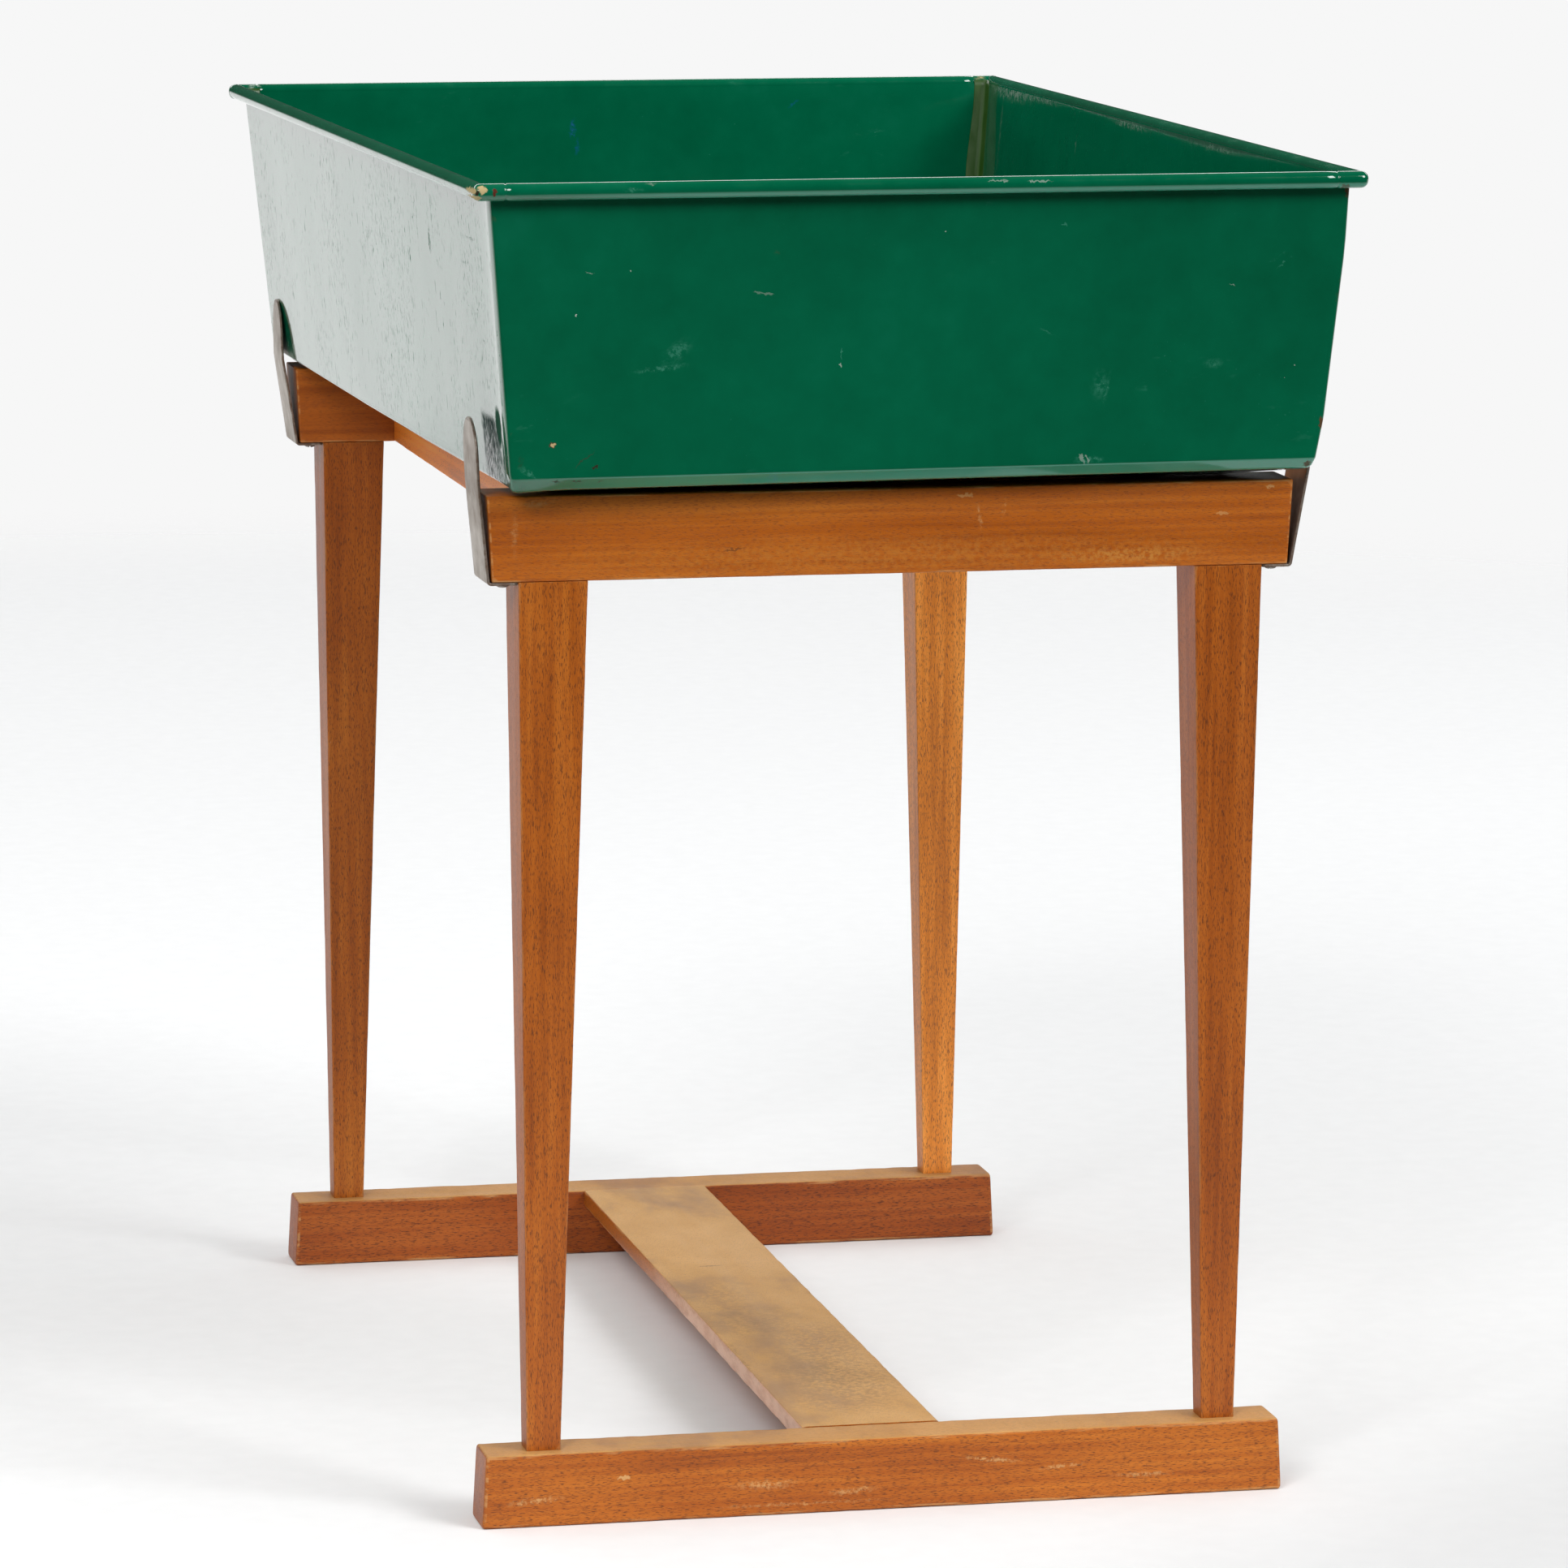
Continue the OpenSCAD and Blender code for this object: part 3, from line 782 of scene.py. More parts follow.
class Shader(Nodes):
    """Builds one procedural material in the object's own coordinates."""

    def __init__(self, name):
        self.material = bpy.data.materials.new(name)
        self.material.use_nodes = True
        super().__init__(self.material.node_tree)
        self.output = self.node("OutputMaterial")
        self.shader = self.node("BsdfPrincipled")
        self.feed(self.output.inputs["Surface"], self.shader.outputs[0])
        self.place = self.node("TexCoord").outputs["Object"]
        self.warped = None
        self.flecks = None

    def finish(self, inputs, relief, strength, distance):
        """Feeds the main shader, adds the bump and hands over the material."""
        for name, value in inputs.items():
            self.feed(self.shader.inputs[name], value)
        values = {"Height": relief, "Strength": strength, "Distance": distance}
        bump = self.node("Bump", values)
        self.feed(self.shader.inputs["Normal"], bump.outputs["Normal"])
        return self.material

    def noise(self, scale, detail, roughness, stretch=None, move=(0, 0, 0), distortion=0.0):
        """Noise over the object's own coordinates, which may be stretched and moved first."""
        vector = self.place
        if stretch:
            inputs = {"Vector": vector, "Scale": stretch, "Location": move}
            vector = self.node("Mapping", inputs).outputs["Vector"]
        names = ("Vector", "Scale", "Detail", "Roughness", "Distortion")
        inputs = dict(zip(names, (vector, scale, detail, roughness, distortion)))
        return Value(self, self.node("TexNoise", inputs).outputs["Fac"])

    def mix(self, share, first, second):
        """A colour between two others."""
        made = self.node("Mix", {"Factor": share}, data_type="RGBA")
        colours = [socket for socket in made.inputs if socket.type == "RGBA"]
        self.feed(colours[0], first)
        self.feed(colours[1], second)
        return next(socket for socket in made.outputs if socket.type == "RGBA")

    def ramp(self, value, *stops):
        """Colour ramp from (position, colour) pairs."""
        made = self.node("ValToRGB", {"Fac": value})
        elements = made.color_ramp.elements
        while len(elements) < len(stops):
            elements.new(0.5)
        for element, (position, colour) in zip(elements, stops):
            element.position = position
            element.color = (*colour, 1.0)
        return made.outputs["Color"]

    def edge(self):
        """1 on the arrises that new_object marks."""
        return Value(self, self.node("Attribute", attribute_name="edge").outputs["Fac"])

    def normal(self, name):
        """One part of the surface direction."""
        return self.axis(self.node("NewGeometry").outputs["Normal"], name)

    def spot(self, centre, half, turn, soft):
        """1 inside an irregular patch at a place on the object, 0 outside."""
        if self.warped is None:
            jitter = self.node("TexNoise", {"Vector": self.place, "Scale": 480, "Detail": 5.0})
            shift = self.vector("SUBTRACT", jitter.outputs["Color"], (0.5, 0.5, 0.5))
            shift = self.vector("MULTIPLY", shift, (4.5 * MM, 4.5 * MM, 4.5 * MM))
            self.warped = self.vector("ADD", self.place, shift)
        offset = self.vector("SUBTRACT", self.warped, centre)
        if turn:
            inputs = {"Vector": offset, "Angle": math.radians(turn)}
            offset = self.node("VectorRotate", inputs, rotation_type="Y_AXIS").outputs[0]
        reach = self.length(self.vector("DIVIDE", offset, half))
        if not soft:
            return self.window(reach, 1.1, 0.75)
        if self.flecks is None:
            self.flecks = self.window(self.noise(330, 5.0, 0.7), 0.40, 0.62)
        return self.window(reach, 1.3, 0.1) * self.flecks

    def paint_marks(self, colour, rows):
        """Lays authored marks over a colour: (colour, strongest mask)."""
        total = 0.0
        for row in rows:
            centre, half, mark_colour, strength, turn, soft = read_mark(*row)
            mask = self.spot(centre, half, turn, soft) * strength
            colour = self.mix(mask, colour, mark_colour)
            total = self.most(total, mask)
        return colour, total


def read_mark(x, y, z, half_x, half_y, half_z, colour, strength, turn=0.0, soft=False):
    """One row of a table of marks: place and half sizes in millimetres, turn about Y in degrees.

    A soft mark is broken into flecks and fades outward.
    """
    centre = [value * MM for value in (x, y, z)]
    half = [value * MM for value in (half_x, half_y, half_z)]
    return centre, half, colour, strength, turn, soft


# ---- colours
AMBER_DARK = (0.270, 0.062, 0.004)
AMBER = (0.400, 0.104, 0.007)
AMBER_LIGHT = (0.530, 0.165, 0.016)
PORE = (0.090, 0.024, 0.007)
WORN_PALE = (0.640, 0.370, 0.140)
WORN_TAN = (0.560, 0.310, 0.100)
WORN_GREY = (0.360, 0.205, 0.090)
RAIL_GOLD = (0.500, 0.180, 0.024)
RAIL_YELLOW = (0.600, 0.290, 0.060)
BOARD_STAIN = (0.260, 0.150, 0.060)
# Partly bare wood, partly painted light on a left face that catches the light.
BARE_AND_LIT_PINK = (0.740, 0.450, 0.310)

GREEN_DEEP = (0.0002, 0.088, 0.038)
GREEN = (0.0003, 0.118, 0.053)
GREEN_LIGHT = (0.004, 0.155, 0.083)
# Painted shade: darker green for the left wall's lower front fold, which faces down.
CREASE_SHADE_GREEN = (0.0003, 0.060, 0.028)
SCUFF_GREEN = (0.040, 0.230, 0.150)
# Painted light: a brighter green for the downward folds, standing in for light thrown up from the
# floor.
PAINTED_FLOOR_LIGHT_GREEN = (0.012, 0.330, 0.205)
CHALK = (0.30, 0.38, 0.32)
PRIMER = (0.52, 0.40, 0.20)
RUST = (0.11, 0.038, 0.016)
RED_CHIP = (0.11, 0.022, 0.014)
DARK_CHIP = (0.030, 0.016, 0.010)
BLUE_SMEAR = (0.010, 0.070, 0.420)
WHITE_NICK = (0.60, 0.66, 0.60)

EDGE_RUST = 0.15

# ---- marks
# Scratches, chips and smears, and a little painted shade, placed one by one. The columns are the
# arguments of read_mark.
FRONT_MARKS = (
    (-195.7, -383, 607.5, 2.2, 30, 1.7, RED_CHIP, 0.8, -35),
    (-195.5, -383, 607.6, 1.7, 30, 1.1, PRIMER, 0.95, -35),
    (-172.1, -382, 595, 2, 30, 1.2, DARK_CHIP, 0.9, 15),
    (-177.9, -382, 599.5, 8, 30, 0.3, DARK_CHIP, 0.6, 36),
    (-213.5, -382, 598.5, 1.6, 30, 4, DARK_CHIP, 0.45, 0, True),
    (-209.1, -382, 592.5, 6, 30, 1.8, SCUFF_GREEN, 0.7, -30, True),
    (-154.3, -393, 702, 0.5, 30, 0.6, WHITE_NICK, 0.63),
    (-177, -393, 701, 2.2, 30, 0.3, WHITE_NICK, 0.42),
    (-183.8, -391, 678, 0.5, 30, 0.5, WHITE_NICK, 0.63),
    (-137, -389, 648, 16, 30, 1.6, SCUFF_GREEN, 0.8, 6, True),
    (-128.2, -389, 657, 10, 30, 5, SCUFF_GREEN, 0.6, 35, True),
    (-73.6, -394, 710, 1.4, 30, 2, RED_CHIP, 0.2, 0, True),
    (-80.5, -392, 688, 6, 30, 0.5, WHITE_NICK, 0.17, -8),
    (-36.6, -389, 648, 0.6, 30, 0.8, WHITE_NICK, 0.42),
    (-36.6, -389, 654, 0.3, 30, 4, SCUFF_GREEN, 0.6),
    (19.8, -395, 720, 0.5, 30, 0.6, WHITE_NICK, 0.63),
    (86.8, -395, 723, 1.6, 30, 0.6, SCUFF_GREEN, 0.6),
    (100.9, -384, 593, 1, 30, 3.4, WHITE_NICK, 0.32, 24),
    (103.8, -384, 593, 0.6, 30, 2.8, WHITE_NICK, 0.35, 30),
    (105.8, -384, 592.5, 10, 30, 2.2, SCUFF_GREEN, 0.9, 0, True),
    (113.6, -388, 631, 0.9, 30, 10, SCUFF_GREEN, 0.7, -10, True),
    (109.7, -388, 634, 5, 30, 9, SCUFF_GREEN, 0.5, 0, True),
    (78.9, -390, 664, 6, 30, 0.5, SCUFF_GREEN, 0.4, -25, True),
    (174, -389, 645, 6, 30, 3, SCUFF_GREEN, 0.5, 0, True),
    (183.2, -393, 688, 2, 30, 0.3, WHITE_NICK, 0.28, 12),
    (208.8, -395, 703, 6, 30, 0.7, SCUFF_GREEN, 0.9, 28, True),
    (212.7, -395, 700, 6, 30, 0.6, SCUFF_GREEN, 0.8, 38, True),
    (220.8, -388, 643, 0.5, 30, 0.6, WHITE_NICK, 0.42),
    (215, -388, 636, 0.5, 30, 0.5, WHITE_NICK, 0.42),
    (237.5, -386, 610, 1.6, 20, 4.2, RUST, 0.85),
    (231, -382, 587, 3, 20, 2.2, RUST, 0.8),
    (248, -394, 739, 2.6, 20, 4.5, RUST, 0.8),
    (-72.6, -380, 586, 4, 10, 3.5, BLUE_SMEAR, 0.2, 0, True),
    (-193.5, -382, 587.2, 2.2, 20, 0.5, DARK_CHIP, 0.7),
    (-180.9, -382, 587, 3, 20, 0.5, DARK_CHIP, 0.7),
    (-169.2, -382, 586.8, 1.6, 20, 0.5, DARK_CHIP, 0.7),
)
LEFT_MARKS = (
    (-238.5, -213, 705, 20, 3, 11, GREEN_DEEP, 0.85, 0, True),
    (-238.5, -211, 703, 20, 1, 6, GREEN_DEEP, 0.9),
    (-239, -224, 716, 20, 1.2, 15, GREEN_DEEP, 0.8, 0, True),
    (-239, -180, 708, 20, 1.8, 10, GREEN_DEEP, 0.7, 0, True),
    (-239, -150, 690, 20, 0.8, 5, GREEN_DEEP, 0.9),
    (-239, -230, 675, 20, 0.8, 3, GREEN_DEEP, 0.9),
    (-239, -330, 715, 20, 20, 1.2, GREEN_DEEP, 0.8, 0, True),
    (-239, -310, 700, 20, 15, 1, GREEN_DEEP, 0.8, 0, True),
    (-235, -340, 660, 20, 10, 1.4, GREEN_DEEP, 0.8, 0, True),
    (-232, -285, 623, 20, 1, 16, GREEN_DEEP, 0.8, 0, True),
    # Painted shade in the lower front fold of the left wall, which faces down.
    (-229, -363, 615, 20, 9.5, 13, CREASE_SHADE_GREEN, 0.97),
    (-229, -372, 599, 20, 3.5, 14, CREASE_SHADE_GREEN, 0.9),
    (-226, -374, 587, 20, 10, 2.8, DARK_CHIP, 0.6, 0, True),
)
RIM_MARKS = (
    (-243.5, -399, 746.5, 3, 20, 2, PRIMER, 0.95),
    (-237.5, -399, 747, 2.6, 20, 2.2, PRIMER, 0.95),
    (-241, -399, 742.8, 3, 20, 1.2, PRIMER, 0.9),
    (-240.5, -399, 745.5, 1.2, 20, 1.2, DARK_CHIP, 0.9),
    (-245, -399, 744, 1, 20, 1.6, DARK_CHIP, 0.8),
    (-231, -399, 745.5, 1.5, 20, 2.4, RED_CHIP, 0.95),
    (-155, -399, 746, 6, 20, 1.2, SCUFF_GREEN, 0.7, 0, True),
    (-145, -399, 749, 3.5, 20, 0.8, CHALK, 0.5, 0, True),
    (47, -399, 748, 6, 20, 0.4, WHITE_NICK, 0.25),
    (70, -399, 747.5, 7, 20, 0.4, WHITE_NICK, 0.25),
    (244, -400, 742, 3, 20, 1.4, RUST, 0.6),
    (-242, 390, 748, 4, 10, 3, WHITE_NICK, 0.7, 0, True),
    (233, 396, 749, 4, 10, 3, PRIMER, 0.8, 0, True),
)
INNER_MARKS = (
    (-37, 389, 719, 2, 20, 7, BLUE_SMEAR, 0.6, -6, True),
    (-34, 388, 708, 1.2, 20, 6, BLUE_SMEAR, 0.3, -6, True),
    (108, 391, 734, 5, 20, 1, BLUE_SMEAR, 0.3, 40, True),
    (232, 330, 744, 20, 55, 6, CHALK, 0.9, 0, True),
    (232, 260, 745, 20, 55, 3.5, CHALK, 0.8, 0, True),
    (236, 50, 743, 20, 40, 2.5, CHALK, 0.8, 0, True),
    (239, -130, 743, 20, 60, 1.8, CHALK, 0.5, 0, True),
    (231, 170, 723, 20, 1.2, 6, CHALK, 0.7, 0, True),
    (231, 120, 705, 20, 28, 1, CHALK, 0.6, 0, True),
    (226, 350, 720, 20, 3, 30, CHALK, 0.3, 0, True),
    (-60, 397, 750, 18, 20, 2, CHALK, 0.3, 0, True),
)
RAIL_MARKS = (
    (135, -358, 537, 45, 20, 4.5, RAIL_YELLOW, 0.6, 0, True),
    (0, -358, 540, 230, 20, 12, RAIL_GOLD, 0.55, 0, True),
    (-199, -358, 573, 12, 10, 2.5, WORN_PALE, 0.4, 6, True),
    (-212, -358, 556, 2, 10, 12, WORN_PALE, 0.3, 0, True),
    (40, -358, 572, 5, 10, 1, WORN_PALE, 0.5),
    (48, -358, 560, 1.2, 10, 8, WORN_PALE, 0.5, 8, True),
    (62, -358, 565, 1, 10, 6, WORN_PALE, 0.5, -12, True),
    (186, -358, 559, 4, 10, 0.9, WORN_PALE, 0.4),
    (214, -358, 573, 2.6, 10, 1, WORN_PALE, 0.6),
    (-90, -358, 545, 6, 10, 0.6, DARK_CHIP, 0.5, 4),
)
FOOT_MARKS = (
    (-200, -355, 15, 16, 10, 2, WORN_PALE, 0.8, 4, True),
    (-150, -355, 26, 4, 10, 1.2, WORN_PALE, 0.8),
    (-70, -355, 18, 20, 10, 3, WORN_PALE, 0.7, 0, True),
    (-20, -355, 12, 16, 10, 2, WORN_PALE, 0.7, 3, True),
    (60, -355, 26, 18, 10, 1.4, WORN_PALE, 0.8, -6, True),
    (100, -355, 20, 14, 10, 1.2, WORN_PALE, 0.7, 4, True),
    (150, -355, 13, 20, 10, 1.6, WORN_PALE, 0.6, 0, True),
    (-50, -355, 6, 50, 10, 1, WORN_PALE, 0.5, 0, True),
)
BOARD_MARKS = (
    (-39.5, -130, 40, 2.5, 20, 2, DARK_CHIP, 0.7, 0, True),
    (-40.5, -165, 40.5, 1.2, 20, 1.2, DARK_CHIP, 0.8, 0, True),
    (-40, -205, 40, 2, 18, 2, DARK_CHIP, 0.6, 0, True),
    (-8, 90, 41.6, 8, 1, 6, DARK_CHIP, 0.5, 8),
    (5, -210, 41.6, 40, 90, 10, BOARD_STAIN, 0.75, 0, True),
    (-15, -60, 41.6, 28, 60, 10, BOARD_STAIN, 0.45, 0, True),
    (25, -110, 41.6, 18, 50, 10, BOARD_STAIN, 0.35, 0, True),
    (-25, 20, 41.6, 30, 50, 6, WORN_GREY, 0.7, 0, True),
    (10, -120, 41.6, 25, 50, 6, WORN_GREY, 0.8, 0, True),
    (-15, -260, 41.6, 30, 40, 6, WORN_GREY, 0.7, 0, True),
)


# ---- materials
def worn_top(s, pores):
    """Colours of an upper face that has lost its oil."""
    blotch = s.noise(13, 5.0, 0.62, (1, 0.6, 1))
    worn = s.ramp(blotch, (0.36, WORN_GREY), (0.5, WORN_TAN), (0.68, WORN_PALE))
    return s.mix(pores * 0.6, worn, WORN_GREY)


def bare_and_lit_left_side(s):
    """Mask over the front part of a board's left side, which is partly bare wood and partly painted
    light.
    """
    facing = s.window(s.normal("X"), -0.5, -0.85)
    ahead = s.window(s.axis(s.place, "Y"), 0.16, -0.02)
    grain = s.window(s.noise(160, 4.0, 0.6, (1, 0.3, 1)), 0.3, 0.6, 0.55, 1.0)
    return facing * ahead * grain


def wood(
    name, grain, tone=(1.0, 1.0, 1.0), top_wear=0.0, edge_wear=0.3, marks=(),
    nicks=0.5, contrast=1.2, bare_and_lit_side=False, porous=0.75,
):
    """Oiled hardwood. grain is the axis that the fibres follow, tone multiplies its colours."""
    s = Shader(name)

    def fibres(share):
        return [share if axis == grain else 1.0 for axis in "XYZ"]

    def toned(colour):
        return tuple(part * factor for part, factor in zip(colour, tone))

    figure = s.noise(38, 4.0, 0.55, fibres(0.045), distortion=0.6)
    streak = s.noise(260, 3.0, 0.6, fibres(0.02))
    cloud = s.noise(7, 2.0, 0.5)
    tint = figure * 0.5 + streak * 0.5 + (cloud - 0.5) * 0.35
    colour = s.ramp(
        tint,
        (0.5 - 0.22 / contrast, toned(AMBER_DARK)),
        (0.5, toned(AMBER)),
        (0.5 + 0.24 / contrast, toned(AMBER_LIGHT)),
    )
    pores = s.window(s.noise(2600, 2.0, 0.5, fibres(0.13)), 0.54, 0.63, 0.0, porous)
    colour = s.mix(pores, colour, toned(PORE))
    long_face = s.window(abs(s.normal(grain)), 0.7, 0.95, 1.0, 0.12)
    rub = s.window(s.noise(210, 4.0, 0.65, fibres(0.13)), 0.46, 0.62)
    edge = s.window(s.edge(), 0.75, 1.0) * rub * long_face
    colour = s.mix(edge * edge_wear, colour, WORN_PALE)
    if top_wear:
        up = s.window(s.normal("Z"), 0.55, 0.9)
        colour = s.mix(up * top_wear, colour, worn_top(s, pores))
    # Pale pink on the left face: partly bare wood, partly painted light.
    if bare_and_lit_side:
        colour = s.mix(bare_and_lit_left_side(s), colour, BARE_AND_LIT_PINK)
    chips = s.window(s.noise(150, 5.0, 0.7, fibres(0.13)), 0.72, 0.75, 0.0, nicks)
    colour = s.mix(chips * long_face, colour, WORN_PALE)
    colour, _ = s.paint_marks(colour, marks)
    inputs = {
        "Base Color": colour,
        "Roughness": s.window(figure, 0.2, 0.8, 0.34, 0.5),
        "Specular IOR Level": s.window(s.normal("Z"), 0.4, 0.9, 0.35, 0.08),
    }
    return s.finish(inputs, streak * 0.5 - pores * 0.9, 0.35, 0.0003)


def rubbed_patch(s, colour):
    """Streaky bare patch on the left wall beside the front clip: (colour, mask)."""
    below = 0.618 - s.axis(s.place, "Z")
    middle = -0.335 - below * 0.40
    half = 0.018 + below * 0.34
    reach = abs(s.axis(s.place, "Y") - middle) / half
    area = s.window(reach, 1.15, 0.8) * s.window(below, -0.004, 0.002)
    area = area * s.window(s.axis(s.place, "X"), -0.205, -0.215)
    streak = s.noise(1500, 4.0, 0.65, (1, 1, 0.06))
    cover = s.math("MULTIPLY", streak - (0.355 + below * 3.8), 9.0, clamp=True)
    mask = area * cover
    shade = s.noise(700, 4.0, 0.65, (1, 1, 0.12), (2, 1, 5))
    bare = s.ramp(
        shade,
        (0.38, (0.008, 0.012, 0.012)),
        (0.50, (0.020, 0.060, 0.050)),
        (0.64, (0.16, 0.19, 0.18)),
    )
    return s.mix(mask, colour, bare), mask


def scratch_mask(s, patches):
    """Upright scratches and dots in patches, and long lines, plainest on the two long walls."""
    fine = s.window(s.noise(1100, 3.0, 0.6, (1, 0.7, 0.09)), 0.60, 0.66)
    fine = fine * s.window(patches, 0.46, 0.60)
    dots = s.window(s.noise(900, 2.0, 0.5, (1, 0.6, 0.3)), 0.70, 0.73)
    dots = dots * s.window(patches, 0.44, 0.58)
    lines = s.noise(900, 2.0, 0.5, (1, 0.9, 0.05), (9, 2, 1))
    mask = s.most(s.most(fine * 0.85, dots), s.window(lines, 0.69, 0.715))
    return mask * s.window(abs(s.normal("X")), 0.7, 0.9, 0.12, 1.0)


def painted_bevel_light(s):
    """Mask of painted light from the floor over the faces that lean downward, fading out towards the
    left.
    """
    down = s.normal("Z")
    leaning = s.window(down, -0.2, -0.6) * s.window(down, -0.97, -0.9)
    return leaning * s.window(s.axis(s.place, "X"), -0.222, -0.120, 0.2, 1.0)


def green_paint(name, marks, rubbed=False, dull_top=False):
    """Glossy enamel on sheet metal, scuffed, scratched and chipped, with painted light from the floor
    on its downward folds.
    """
    s = Shader(name)
    cloud = s.noise(5, 3.0, 0.5)
    mottle = s.noise(48, 4.0, 0.6)
    tint = cloud * 0.65 + mottle * 0.35
    colour = s.ramp(tint, (0.3, GREEN_DEEP), (0.55, GREEN), (0.85, GREEN_LIGHT))
    # Painted light from the floor on the downward folds.
    colour = s.mix(painted_bevel_light(s) * 0.7, colour, PAINTED_FLOOR_LIGHT_GREEN)
    patches = s.noise(14, 4.0, 0.6, (1, 1, 0.6), (3, 1, 2))
    scratch = scratch_mask(s, patches)
    colour = s.mix(scratch * 0.5, colour, GREEN_DEEP)
    smudge = s.window(s.noise(160, 5.0, 0.65, (0.35, 1, 1), (1, 4, 2)), 0.60, 0.70)
    smudge = smudge * s.window(patches, 0.54, 0.68)
    colour = s.mix(smudge * 0.25, colour, SCUFF_GREEN)
    speck = s.window(s.noise(620, 2.0, 0.5), 0.745, 0.77) * s.window(patches, 0.50, 0.62)
    colour = s.mix(speck * 0.5, colour, SCUFF_GREEN)
    wear = s.window(s.noise(150, 4.0, 0.6), 0.63, 0.69)
    rust = s.window(s.edge(), 0.7, 0.98) * wear * EDGE_RUST
    colour = s.mix(rust, colour, RUST)
    colour, marked = s.paint_marks(colour, marks)
    if rubbed:
        colour, bare = rubbed_patch(s, colour)
        marked = s.most(marked, bare)
    chips = s.most(rust, marked)
    rough = s.window(mottle, 0.35, 0.7, 0.06, 0.13) + scratch * 0.3
    kept = 1.0 - s.most(scratch * 0.9, chips)
    if dull_top:
        kept = kept * s.window(s.normal("Z"), -0.15, 0.35, 1.0, 0.2)
    peel = s.noise(210, 2.0, 0.5)
    inputs = {
        "Base Color": colour,
        "Roughness": s.math("ADD", rough, chips * 0.5, clamp=True),
        "Specular IOR Level": kept * 0.5,
        "Coat Weight": kept * 0.6,
        "Coat Roughness": 0.05,
    }
    return s.finish(inputs, peel * 0.2 - chips * 0.8 - scratch * 0.25, 0.2, 0.0004)


def strap_steel(name):
    """Bare strap steel gone brown, rubbed brighter in places."""
    s = Shader(name)
    mottle = s.noise(70, 5.0, 0.6)
    cloud = s.noise(18, 3.0, 0.5)
    brushed = s.noise(420, 2.0, 0.5, (1, 1, 0.04))
    tint = mottle * 0.5 + cloud * 0.5
    colour = s.ramp(
        tint, (0.3, (0.22, 0.17, 0.13)), (0.5, (0.40, 0.35, 0.30)), (0.75, (0.56, 0.51, 0.46))
    )
    spots = s.window(s.noise(190, 4.0, 0.6), 0.38, 0.62)
    rust = s.window(s.edge(), 0.2, 0.9) * spots
    inputs = {
        "Base Color": s.mix(rust * 0.8, colour, (0.10, 0.045, 0.020)),
        "Metallic": s.window(rust, 0.0, 1.0, 0.9, 0.25),
        "Roughness": s.window(tint, 0.3, 0.75, 0.5, 0.3),
    }
    return s.finish(inputs, brushed * 0.4 + mottle * 0.6, 0.3, 0.0003)


def dark_steel(name, tone):
    """Dull steel with brown spots."""
    s = Shader(name)
    spots = s.noise(260, 4.0, 0.6)
    light = tuple(part * tone for part in (0.42, 0.39, 0.35))
    dark = tuple(part * tone for part in (0.16, 0.10, 0.06))
    inputs = {
        "Base Color": s.ramp(spots, (0.35, dark), (0.6, light)),
        "Metallic": 0.85,
        "Roughness": s.window(spots, 0.3, 0.7, 0.55, 0.35),
    }
    return s.finish(inputs, spots, 0.3, 0.0002)


def solder_metal(name, paint_share):
    """Solder under worn paint: olive where it is painted, cream and brown where it isn't."""
    s = Shader(name)
    cloud = s.noise(90, 5.0, 0.6, (1, 1, 0.35))
    bare = s.ramp(
        cloud, (0.35, (0.26, 0.17, 0.07)), (0.5, (0.50, 0.43, 0.26)), (0.7, (0.66, 0.60, 0.42))
    )
    painted = s.ramp(
        cloud, (0.3, (0.018, 0.070, 0.006)), (0.6, (0.034, 0.095, 0.014)), (0.85, (0.07, 0.13, 0.03))
    )
    ridge = s.window(s.edge(), 0.35, 0.0, 0.0, 0.6)
    painted = s.mix(ridge, painted, (0.09, 0.16, 0.06))
    limit = 0.4 + paint_share * 0.3
    patch = s.window(s.noise(45, 4.0, 0.6), limit, limit + 0.08)
    inputs = {
        "Base Color": s.mix(patch, painted, bare),
        "Metallic": s.window(patch, 0.0, 1.0, 0.0, 0.3),
        "Roughness": s.window(cloud, 0.3, 0.7, 0.28, 0.5),
    }
    return s.finish(inputs, cloud, 0.5, 0.0005)


# ---- stage, light, camera
FLOOR_CENTRE = Vector((0.0, 1.3, 0.0))
FLOOR_SOLID = 2.2
FLOOR_REACH = 3.0
BACKDROP = 0.93


def floor_surface(name):
    """Pale matt studio floor, with painted shade at the front right where the light falls brightest,
    that fades out at its rim.
    """
    s = Shader(name)
    grain = s.noise(60, 3.0, 0.5)
    paint = s.ramp(grain, (0.3, (0.860, 0.866, 0.870)), (0.7, (0.880, 0.886, 0.890)))
    diagonal = s.axis(s.place, "X") - s.axis(s.place, "Y")
    # Painted shade: darker floor colour at the front right, evening out the brighter light there.
    lit_corner = s.window(diagonal, 0.45, 0.85, 0.0, 0.2)
    reach = s.length(s.vector("SUBTRACT", s.place, FLOOR_CENTRE))
    clear = s.node("BsdfTransparent").outputs[0]
    past = s.window(reach, FLOOR_SOLID, FLOOR_REACH)
    mixer = s.node("MixShader", {0: past, 1: s.shader.outputs[0], 2: clear})
    s.feed(s.output.inputs["Surface"], mixer.outputs[0])
    inputs = {
        "Base Color": s.mix(lit_corner, paint, (0.0, 0.0, 0.0)),
        "Roughness": s.window(grain, 0.3, 0.7, 0.75, 0.85),
        "Specular IOR Level": 0.1,
    }
    return s.finish(inputs, grain, 0.05, 0.0005)


